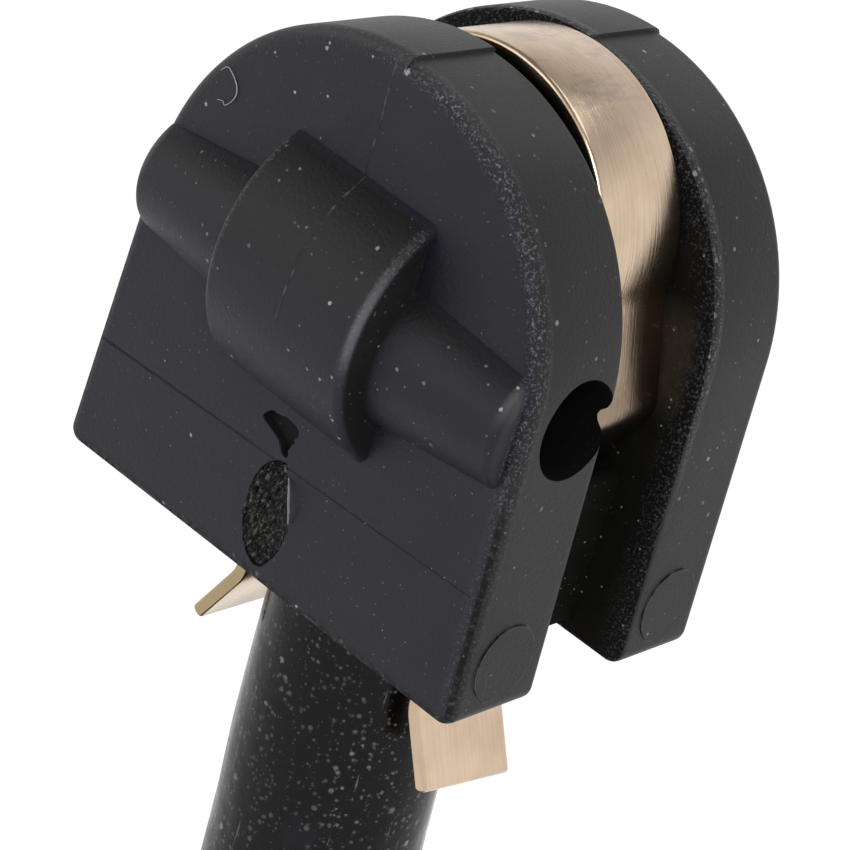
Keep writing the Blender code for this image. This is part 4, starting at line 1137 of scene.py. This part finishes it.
# The bore's and the slot's walls are painted darker than the faces: painted shade.
head.data.materials.append(inner_finish("dark_bore", (0.0008, 0.0008, 0.0008), 0.05))
head.data.materials.append(inner_finish("dusty_slot", (0.005, 0.0048, 0.0038), 1.0))
scar.data.materials.append(scar_finish())
print("head finishes", [material.name for material in head.data.materials])


# %% Flake and hair
def thread_finish(name, first, second):
    f = Finish(name, first, 0.4)
    f.set("Base Color", f.blend(f.noise(4.0, 2.0), first, second))
    f.set("Roughness", 0.3 + f.noise(9.0, 2.0) * 0.3)
    return f.material


flake.data.materials.append(thread_finish("flake_nylon", (0.1, 0.105, 0.13), (0.26, 0.27, 0.31)))
hair.data.materials.append(thread_finish("pale_hair", (0.25, 0.25, 0.26), (0.5, 0.5, 0.5)))

# %% [markdown]
# Rolled bronze has fine lines along its length. Noise that is squeezed across the strip draws
# them. The strip is painted darker where it dips between the cheeks, as painted shade and a painted
# dark reflection of the slot's walls, and it is smeared on its crown. The cut edge of its left half
# is painted darker and yellower, as painted shade.


# %% Clip: rolled bronze
def bronze_finish():
    f = Finish("rolled_bronze", (0.66, 0.5, 0.36), 0.3, 1.0)
    x, y, z = f.axes()
    rolled = f.noise(1.0, 3.0, 0.6, f.stretched(0.35, 16.0, 0.35))
    fine = f.noise(1.0, 2.0, 0.6, f.stretched(1.2, 45.0, 1.2))
    stain = f.noise(0.45, 3.0, 0.6)
    # Painted shade and a painted dark reflection where the strip dips between the cheeks.
    inside = z.fall(-0.5, 2.6) * z.rise(-9.6, -8.2)
    crown = f.noise(1.0, 3.0, 0.6, f.stretched(1.6, 0.6, 1.0)).rise(0.45, 0.7) * z.rise(6.3, 6.9)
    # Painted shade on the front cut edge: full on the left half, a quarter of it on the right.
    cut_edge = y.fall(0.06 - STRIP_WIDTH / 2, 0.14 - STRIP_WIDTH / 2) * (1 - x.rise(-1.0, 1.0) * 0.75)
    surface = f.blend(stain.rise(0.35, 0.75), (0.71, 0.55, 0.41), (0.60, 0.455, 0.325))
    surface = f.blend(inside * (0.6 + stain * 0.4), surface, (0.2, 0.145, 0.1))
    surface = f.blend(rolled.rise(0.4, 0.7) * 0.2, surface, (0.4, 0.3, 0.22))
    surface = f.blend(crown * 0.6, surface, (0.36, 0.3, 0.26))
    surface = f.blend(cut_edge * 0.85, surface, (0.33, 0.255, 0.135))
    f.set("Base Color", f.blend(f.specks(2.0, 0.4, 0.04) * 0.7, surface, (0.12, 0.07, 0.04)))
    f.set("Roughness", 0.11 + rolled * 0.12 + fine * 0.07 + stain * 0.04)
    f.bump(rolled * 0.7 + fine * 0.3, 0.007)
    return f.material


strip.data.materials.append(bronze_finish())

# %% [markdown]
# The cable's jacket is smooth and glossy, so it shows every speck. Dust in three sizes lies in
# clusters, and short scratches are specks in a space that is squeezed along one direction.


# %% Cable: glossy jacket with dust and scratches
def scratches(f, per_mm, share, turned):
    """Short fine lines: specks in a space that is squeezed along one direction."""
    sockets = {"Vector": f.at, "Rotation": turned, "Scale": (1.0, 1.0, 0.04)}
    return f.specks(per_mm, share, 0.06, f.node("ShaderNodeMapping", None, sockets))


def jacket_finish():
    f = Finish("glossy_jacket", 0.004, 0.2, specular=0.16)
    clusters = f.noise(0.22, 2.0).rise(0.35, 0.62)
    dust = f.specks(1.8, 0.4, 0.15) * (clusters * 0.7 + 0.3)
    small_dust = f.specks(4.0, 0.65, 0.1) * (clusters * 0.75 + 0.25)
    fine_dust = f.specks(7.0, 0.7, 0.075) * (clusters * 0.6 + 0.4)
    lines = scratches(f, 5.0, 0.3, (0.5, 0.2, 0.0)).most(scratches(f, 5.0, 0.25, (-0.35, 0.9, 0.0)))
    dirt = dust.most(small_dust * 0.6).most(fine_dust * 0.3).most(lines * 0.35)
    haze = f.noise(0.35, 3.0, 0.6).rise(0.5, 0.8)
    bloom = f.noise(0.5, 2.0).rise(0.62, 0.75)
    black = f.blend(bloom * 0.5, 0.0035, (0.014, 0.014, 0.024))
    f.set("Base Color", f.blend(dirt * 0.85, black, (0.45, 0.45, 0.46)))
    f.set("Roughness", 0.14 + haze * 0.14 + dirt * 0.4)
    f.bump(f.noise(0.8, 3.0) + dirt * 0.25, 0.05)
    return f.material


cable_curve.materials.append(jacket_finish())

# %% [markdown]
# The other solids are plain moulded, insulated or drawn parts. Two functions cover them: one for
# a matt grain with faint clouds, and one for metal with drawing lines along its length.


# %% Plain moulded and metal finishes for the other nodes
def moulded_finish(name, colour, roughness, depth=0.02):
    f = Finish(name, colour, roughness)
    grain = f.noise(6.0, 3.0, 0.6)
    darker = tuple(part * 0.8 for part in colour)
    lighter = tuple(min(1.0, part * 1.2) for part in colour)
    f.set("Base Color", f.blend(f.noise(0.4, 2.0), darker, lighter))
    f.set("Roughness", roughness - 0.06 + grain * 0.12)
    f.bump(grain, depth)
    return f.material


def metal_finish(name, colour, roughness):
    f = Finish(name, colour, roughness, 1.0)
    drawn = f.noise(1.0, 3.0, 0.6, f.stretched(12.0, 12.0, 1.0))
    f.set("Roughness", roughness - 0.05 + drawn * 0.15)
    f.bump(drawn, 0.005)
    return f.material


finishes = {
    "potting": moulded_finish("potting_resin", (0.02, 0.018, 0.016), 0.3, 0.01),
    "lead_left": moulded_finish("red_insulation", (0.45, 0.03, 0.02), 0.4, 0.01),
    "lead_right": moulded_finish("black_insulation", (0.015, 0.015, 0.015), 0.4, 0.01),
    "crimp_left": metal_finish("tinned_metal", (0.72, 0.71, 0.68), 0.3),
    "sense_loop": moulded_finish("wire_enamel", (0.12, 0.05, 0.02), 0.35, 0.005),
    "terminal_left": metal_finish("terminal_brass", (0.78, 0.6, 0.3), 0.3),
    "wire_seal": moulded_finish("seal_rubber", (0.5, 0.12, 0.02), 0.6, 0.02),
    "terminal_lock": moulded_finish("lock_nylon", (0.25, 0.25, 0.26), 0.5, 0.02),
    "coil_tie_upper": moulded_finish("tie_nylon", (0.02, 0.02, 0.02), 0.45, 0.01),
    "cable_boot": moulded_finish("boot_rubber", (0.022, 0.022, 0.022), 0.6, 0.03),
    "connector_housing": moulded_finish("connector_nylon", (0.03, 0.03, 0.033), 0.5, 0.025),
}
same_finish = {
    "crimp_right": "crimp_left", "terminal_right": "terminal_left", "face_seal": "wire_seal",
    "coil_tie_lower": "coil_tie_upper", "plug_lead_left": "lead_left", "plug_lead_right": "lead_right",
}
for name, source in same_finish.items():
    finishes[name] = finishes[source]
for name, material in finishes.items():
    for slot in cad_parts[name].material_slots:
        slot.material = material
print("finishes", len(bpy.data.materials))

# %% [markdown]
# ## Ribs, teeth and grips
#
# The boot has bellows rings, each cable tie has teeth across its strap, and the plug has grip
# bars. They repeat along a line or a path, so Geometry Nodes make them: one tree for rings along
# a line, one for bars on a path. Each tree ends in real geometry, and the result is kept as a
# plain mesh.


# %% A Geometry Nodes tree in a few lines
class Growth(Graph):
    """A Geometry Nodes tree whose inputs have names; its last input is always the finish."""

    def __init__(self, name, inputs):
        super().__init__(bpy.data.node_groups.new(name, "GeometryNodeTree"))
        face = self.tree.interface
        for way in ("INPUT", "OUTPUT"):
            face.new_socket("Geometry", in_out=way, socket_type="NodeSocketGeometry")
        self.keys = {}
        for label, kind in {**inputs, "Finish": "Material"}.items():
            made = face.new_socket(label, in_out="INPUT", socket_type="NodeSocket" + kind)
            self.keys[label] = made.identifier
        self.given = self.node("NodeGroupInput").other

    def end(self, parts):
        """Join the parts, make them real and give them the finish."""
        joined = self.node("GeometryNodeJoinGeometry")
        for part in parts:
            self.feed(joined.socket.node.inputs[0], part)
        real = self.node("GeometryNodeRealizeInstances", None, {0: joined})
        dress = {"Geometry": real, "Material": self.given("Finish")}
        dressed = self.node("GeometryNodeSetMaterial", None, dress)
        self.feed(self.tree.nodes.new("NodeGroupOutput").inputs[0], dressed)

    def grow(self, source, name, values):
        """Run the tree on an object, which is dropped, and keep the result as a plain mesh."""
        modifier = source.modifiers.new("growth", "NODES")
        modifier.node_group = self.tree
        for label, value in values.items():
            modifier[self.keys[label]] = value
        depsgraph = bpy.context.evaluated_depsgraph_get()
        mesh = bpy.data.meshes.new_from_object(source.evaluated_get(depsgraph))
        source.modifiers.clear()
        bpy.data.objects.remove(source)
        mesh.name = name
        mesh.shade_smooth()
        mesh.set_sharp_from_angle(angle=math.radians(35.0))
        return add_object(name, mesh)


# %% Rings along a line
rings_tree = Growth("rings_along_a_line", {
    "Count": "Int", "First": "Vector", "Step": "Vector", "Radius": "Float", "Thickness": "Float",
    "Taper": "Float",
})
given = rings_tree.given
line = {"Count": given("Count"), "Start Location": given("First"), "Offset": given("Step")}
centres = rings_tree.node("GeometryNodeMeshLine", {"mode": "OFFSET"}, line)
hoop, section = (
    rings_tree.node("GeometryNodeCurvePrimitiveCircle", None, {"Resolution": count, "Radius": given(radius)})
    for count, radius in ((56, "Radius"), (10, "Thickness")))
ring = rings_tree.node("GeometryNodeCurveToMesh", None, {"Curve": hoop, "Profile Curve": section})
growing = rings_tree.node("GeometryNodeInputIndex") * given("Taper") + 1.0
hoops = rings_tree.node("GeometryNodeInstanceOnPoints", None,
                        {"Points": centres, "Instance": ring, "Scale": growing})
rings_tree.end([given("Geometry"), hoops])

# %% Bars on a path
bars_tree = Growth("bars_on_a_path", {"Pitch": "Float", "Half bar": "Vector", "Thickness": "Float"})
given = bars_tree.given
spots = bars_tree.node("GeometryNodeResampleCurve", {"mode": "LENGTH"},
                       {"Curve": given("Geometry"), "Length": given("Pitch")})
back = bars_tree.node("ShaderNodeVectorMath", {"operation": "SCALE"}, {0: given("Half bar"), "Scale": -1.0})
core = bars_tree.node("GeometryNodeCurvePrimitiveLine", None, {"Start": back, "End": given("Half bar")})
section = bars_tree.node("GeometryNodeCurvePrimitiveCircle", None,
                         {"Resolution": 10, "Radius": given("Thickness")})
bar = bars_tree.node("GeometryNodeCurveToMesh", None,
                     {"Curve": core, "Profile Curve": section, "Fill Caps": True})
bars_tree.end([bars_tree.node("GeometryNodeInstanceOnPoints", None, {"Points": spots, "Instance": bar})])
print("trees", [tree.name for tree in bpy.data.node_groups])

# %% [markdown]
# ## The boot
#
# The rubber boot is a tapered sleeve over the cable and the plug's spigot. A hollow loft makes
# the sleeve, and the rings tree lays seven bellows rings over its taper.

# %% Sleeve and bellows rings
SPIGOT_DIAMETER = 8.4
BOOT_HOLE = CABLE_RADIUS + FIT_GAP
BOOT_TIP = BOOT_HOLE + 0.8
BOOT_ROOT = SPIGOT_DIAMETER / 2 + FIT_GAP + 1.3
BOOT_COLLAR = 3.0
BOOT_COLLAR_STEP = 0.4
RING_COUNT = 7
RING_FIRST = 2.2             # below the boot's top
RING_STEP = 2.1
RING_THICK = 0.36


def make_boot():
    spigot_hole = SPIGOT_DIAMETER / 2 + FIT_GAP
    floor = BOOT_LENGTH - SPIGOT_LENGTH - FIT_GAP
    shoulder = BOOT_LENGTH - BOOT_COLLAR
    profile = (
        (BOOT_HOLE, 0.15), (BOOT_HOLE + 0.15, 0.0), (BOOT_TIP - 0.25, 0.0), (BOOT_TIP, 0.3),
        (BOOT_ROOT - BOOT_COLLAR_STEP, shoulder - 0.2), (BOOT_ROOT - 0.15, shoulder),
        (BOOT_ROOT, shoulder + 0.2), (BOOT_ROOT, BOOT_LENGTH - 0.3), (BOOT_ROOT - 0.3, BOOT_LENGTH),
        (spigot_hole, BOOT_LENGTH), (spigot_hole, floor), (BOOT_HOLE, floor),
    )
    rings = [along_z(boot_top - down, circle(radius), (boot_x, boot_y)) for radius, down in profile]
    sleeve = loft("boot_sleeve", rings, closed=True)
    slope = (BOOT_ROOT - BOOT_COLLAR_STEP - BOOT_TIP) / shoulder
    first = BOOT_TIP + slope * RING_FIRST
    return rings_tree.grow(sleeve, "boot_sleeve", {
        "Count": RING_COUNT, "First": place(boot_x, boot_y, boot_top - RING_FIRST),
        "Step": (0.0, 0.0, -RING_STEP * MM), "Radius": first * MM, "Thickness": RING_THICK * MM,
        "Taper": slope * RING_STEP / first, "Finish": finishes["cable_boot"],
    })


boot = make_boot()
print("boot", len(boot.data.polygons), "faces")

# %% [markdown]
# ## The cable ties
#
# Each tie is a strap round all the turns of the coil with teeth on its outside, a lock with a
# window that the strap runs through, and the cut end that sticks out of it.

# %% Straps with teeth and locks
TIE_WIDTH = 4.0
TIE_THICK = 1.1
TIE_RIM = 0.25
TIE_LOCK = 5.0
TIE_ANGLES = {"upper": math.radians(140.0), "lower": math.radians(250.0)}
COIL_HALF_SECTION = CABLE_RADIUS + 0.2
TIE_INNER = COIL_HALF_SECTION + FIT_GAP
TIE_CORNER = TIE_INNER - 0.5
TOOTH_PITCH = 1.1
TOOTH_RADIUS = 0.17
TOOTH_MARGIN = 0.7
TIE_TAIL = 1.6


def merge(name, pieces):
    """One object of several closed pieces."""
    bm = bmesh.new()
    for piece in pieces:
        bm.from_mesh(piece.data)
        bpy.data.objects.remove(piece)
    return piece_from(name, bm)


def make_tie(label, angle):
    out = Vector((math.cos(angle), 0.0, math.sin(angle)))
    along = Vector((-math.sin(angle), 0.0, math.cos(angle)))
    across = Vector((0.0, 1.0, 0.0))
    middle = Vector((COIL_CENTRE_X, 0.0, COIL_CENTRE_HEIGHT)) + out * COIL_RADIUS

    def spot(u, v, w):
        return place(*(middle + out * u + across * v + along * w))

    rings = []
    for shift, grow in rounded_rectangle(TIE_WIDTH / 2, TIE_THICK / 2, TIE_RIM, math.radians(45.0)):
        reach = grow + TIE_THICK / 2
        inner = TIE_INNER + reach
        outline = rounded_rectangle(inner, inner + COIL_HALF_WIDTH, TIE_CORNER + reach)
        rings.append([spot(u, v, shift) for u, v in outline])
    strap = loft("strap", rings, closed=True)

    base = TIE_INNER + TIE_THICK / 2
    lock_rings = []
    for u, inset in rim_steps(base, base + TIE_LOCK, 0.0, 0.5, 4):
        outline = rounded_rectangle(TIE_LOCK / 2 - inset, TIE_LOCK / 2 - inset, max(0.8 - inset, 0.35))
        lock_rings.append([spot(u, v, w) for w, v in outline])
    window = rounded_rectangle(TIE_WIDTH / 2 - 0.2, 0.75, 0.2)
    sill = base + TIE_LOCK * 0.55
    window_cut = loft("window", [[spot(sill + h, v, w) for w, h in window] for v in (-TIE_LOCK, TIE_LOCK)])
    lock = loft("lock", lock_rings)
    combine(lock, [window_cut], "DIFFERENCE")
    stub = rounded_rectangle(TIE_WIDTH / 2 - 0.4, 0.5, 0.2)
    sticks_out = (-TIE_LOCK / 2 + 0.4, TIE_LOCK / 2 + TIE_TAIL)
    tail = loft("tail", [[spot(sill + h, v, w) for w, h in stub] for v in sticks_out])

    reach = TIE_INNER + TIE_THICK
    outline = rounded_rectangle(reach, reach + COIL_HALF_WIDTH, TIE_CORNER + TIE_THICK)
    path = poly_curve("tooth_path", [spot(u, v, 0.0) for u, v in outline], closed=True)
    teeth = bars_tree.grow(add_object("tooth_path", path), "teeth", {
        "Pitch": TOOTH_PITCH * MM, "Half bar": along * (TIE_WIDTH / 2 - TOOTH_MARGIN) * MM,
        "Thickness": TOOTH_RADIUS * MM, "Finish": finishes["coil_tie_upper"],
    })
    tie = merge("tie_" + label, [strap, lock, tail, teeth])
    tie.data.materials.append(finishes["coil_tie_upper"])
    return tie


ties = {label: make_tie(label, angle) for label, angle in TIE_ANGLES.items()}
print("ties", [len(tie.data.polygons) for tie in ties.values()], "faces")

# %% [markdown]
# ## Grips on the plug
#
# A row of half-round bars on each side of the housing gives the fingers a hold. The path is a
# straight line down the side, and the bars lie half sunk in it.

# %% Grip bars
HOUSING_WIDTH = 17.0
GRIP_TOP = 4.5               # below the housing's top
GRIP_REACH = 8.4
GRIP_PITCH = 1.4
GRIP_HALF = 3.0
GRIP_RADIUS = 0.4
GRIP_SINK = 0.05             # how far the path lies inside the side


def make_grips(side):
    top = boot_top - BOOT_LENGTH - FIT_GAP - GRIP_TOP
    x = boot_x + side * (HOUSING_WIDTH / 2 - GRIP_SINK)
    path = poly_curve("grip_path", [place(x, boot_y, height) for height in (top, top - GRIP_REACH)])
    name = "grips_right" if side > 0 else "grips_left"
    return bars_tree.grow(add_object("grip_path", path), name, {
        "Pitch": GRIP_PITCH * MM, "Half bar": (0.0, GRIP_HALF * MM, 0.0), "Thickness": GRIP_RADIUS * MM,
        "Finish": finishes["connector_housing"],
    })


grips = [make_grips(side) for side in (1, -1)]
print("grips", [len(grip.data.polygons) for grip in grips], "faces")

# %% [markdown]
# ## Studio
#
# A product picture on white: a pale floor far below, a white sky that the camera and glossy
# surfaces see, and three soft lamps. The sky lights the head less than it shows, so that black
# nylon stays black, and gets darker straight above, so that the gloss of the strip and the cable
# has something to show.

# %% Floor
FLOOR_HEIGHT = -0.26
FLOOR_SIZE = 6.0
FLOOR_GLOW = 1.12            # of the floor as the camera sees it
FLOOR_GLOW_SHARE = 0.86      # the rest is its own grey, which keeps the shadow
half = FLOOR_SIZE / 2
floor_mesh = bpy.data.meshes.new("floor")
corners = [(x * half, y * half, FLOOR_HEIGHT) for x, y in ((-1, -1), (1, -1), (1, 1), (-1, 1))]
floor_mesh.from_pydata(corners, [], [(0, 1, 2, 3)])
floor = add_object("floor", floor_mesh)


def stage_finish():
    """White for the camera and in reflections, pale grey as a surface that light falls on."""
    f = Finish("pale_floor", 0.9, 0.9)
    seen = f.node("ShaderNodeLightPath", output="Is Camera Ray")
    seen = seen.most(seen.other("Is Glossy Ray")).most(seen.other("Is Transmission Ray"))
    white = f.node("ShaderNodeEmission", None, {"Color": opaque(1.0), "Strength": FLOOR_GLOW})
    plain = Signal(f, f.shader.outputs[0])
    mix = f.node("ShaderNodeMixShader", None, {0: seen * FLOOR_GLOW_SHARE, 1: plain, 2: white})
    f.feed(f.tree.nodes["Material Output"].inputs["Surface"], mix)
    return f.material


floor_mesh.materials.append(stage_finish())
print("floor at", FLOOR_HEIGHT, "m")

# %% World
LIGHT_LEVEL = 0.5            # of the world as a light
SKY_IN_GLOSS = 0.25          # the sky straight above, as gloss shows it
world = bpy.data.worlds.new("studio")
bpy.context.scene.world = world
world.use_nodes = True
sky = Graph(world.node_tree)
background = world.node_tree.nodes["Background"]
upward = sky.node("ShaderNodeSeparateXYZ", None, {0: sky.node("ShaderNodeTexCoord", output="Generated")}, 2)
above = 1 - upward.rise(0.3, 0.85) * (1 - SKY_IN_GLOSS)
seen = sky.node("ShaderNodeLightPath", output="Is Camera Ray")
in_gloss = seen.other("Is Glossy Ray").most(seen.other("Is Transmission Ray"))
strength = sky.node("ShaderNodeMix", None, {0: in_gloss, 2: LIGHT_LEVEL, 3: above})
strength = sky.node("ShaderNodeMix", None, {0: seen, 2: strength, 3: 1.0})
sky.feed(background.inputs["Color"], opaque(1.0))
sky.feed(background.inputs["Strength"], strength)


# %% Lamps
def softbox(name, direction, distance, size, power):
    """A square lamp that looks at the head from a direction."""
    data = bpy.data.lights.new(name, "AREA")
    data.energy = power
    data.size = size
    lamp = add_object(name, data)
    lamp.location = Vector(direction).normalized() * distance
    lamp.rotation_euler = (-lamp.location).to_track_quat("-Z", "Y").to_euler()


softbox("beside_camera", (0.75, -0.9, 0.75), 0.45, 0.14, 0.7)
softbox("front_left", (-0.7, -1.0, 0.5), 0.5, 0.35, 0.5)
softbox("top", (0.2, 0.35, 1.0), 0.5, 0.3, 0.5)

bpy.context.scene.view_settings.view_transform = "Standard"

# %% [markdown]
# ## Putting the pieces on the frame
#
# Each new piece rides on the part's one body, and the solids that it stands for are hidden.

# %% Ride and replace
for piece, nodes_replaced, slot in (
    (head, ["head_body"], "black_nylon"),
    (scar, [], "black_nylon"),
    (flake, [], "black_nylon"),
    (hair, [], "black_nylon"),
    (strip, ["spring_clip"], "bronze_strip"),
    (cable, ["cable", "cable_coil", "cable_end"], "cable_jacket"),
    (boot, ["cable_boot"], "black_nylon"),
    (ties["upper"], ["coil_tie_upper"], "black_nylon"),
    (ties["lower"], ["coil_tie_lower"], "black_nylon"),
    (grips[0], [], "black_nylon"),
    (grips[1], [], "black_nylon"),
):
    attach(piece, "root")
    if nodes_replaced:
        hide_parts(*nodes_replaced)

on_cable = ["connector_housing", "terminal_lock", "wire_seal", "face_seal", "terminal_left", "terminal_right",
            "plug_lead_left", "plug_lead_right"]
tuple(place(0.0, 0.0, 0.0))
[*ties.values(), boot, *grips] + [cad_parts[name] for name in on_cable]
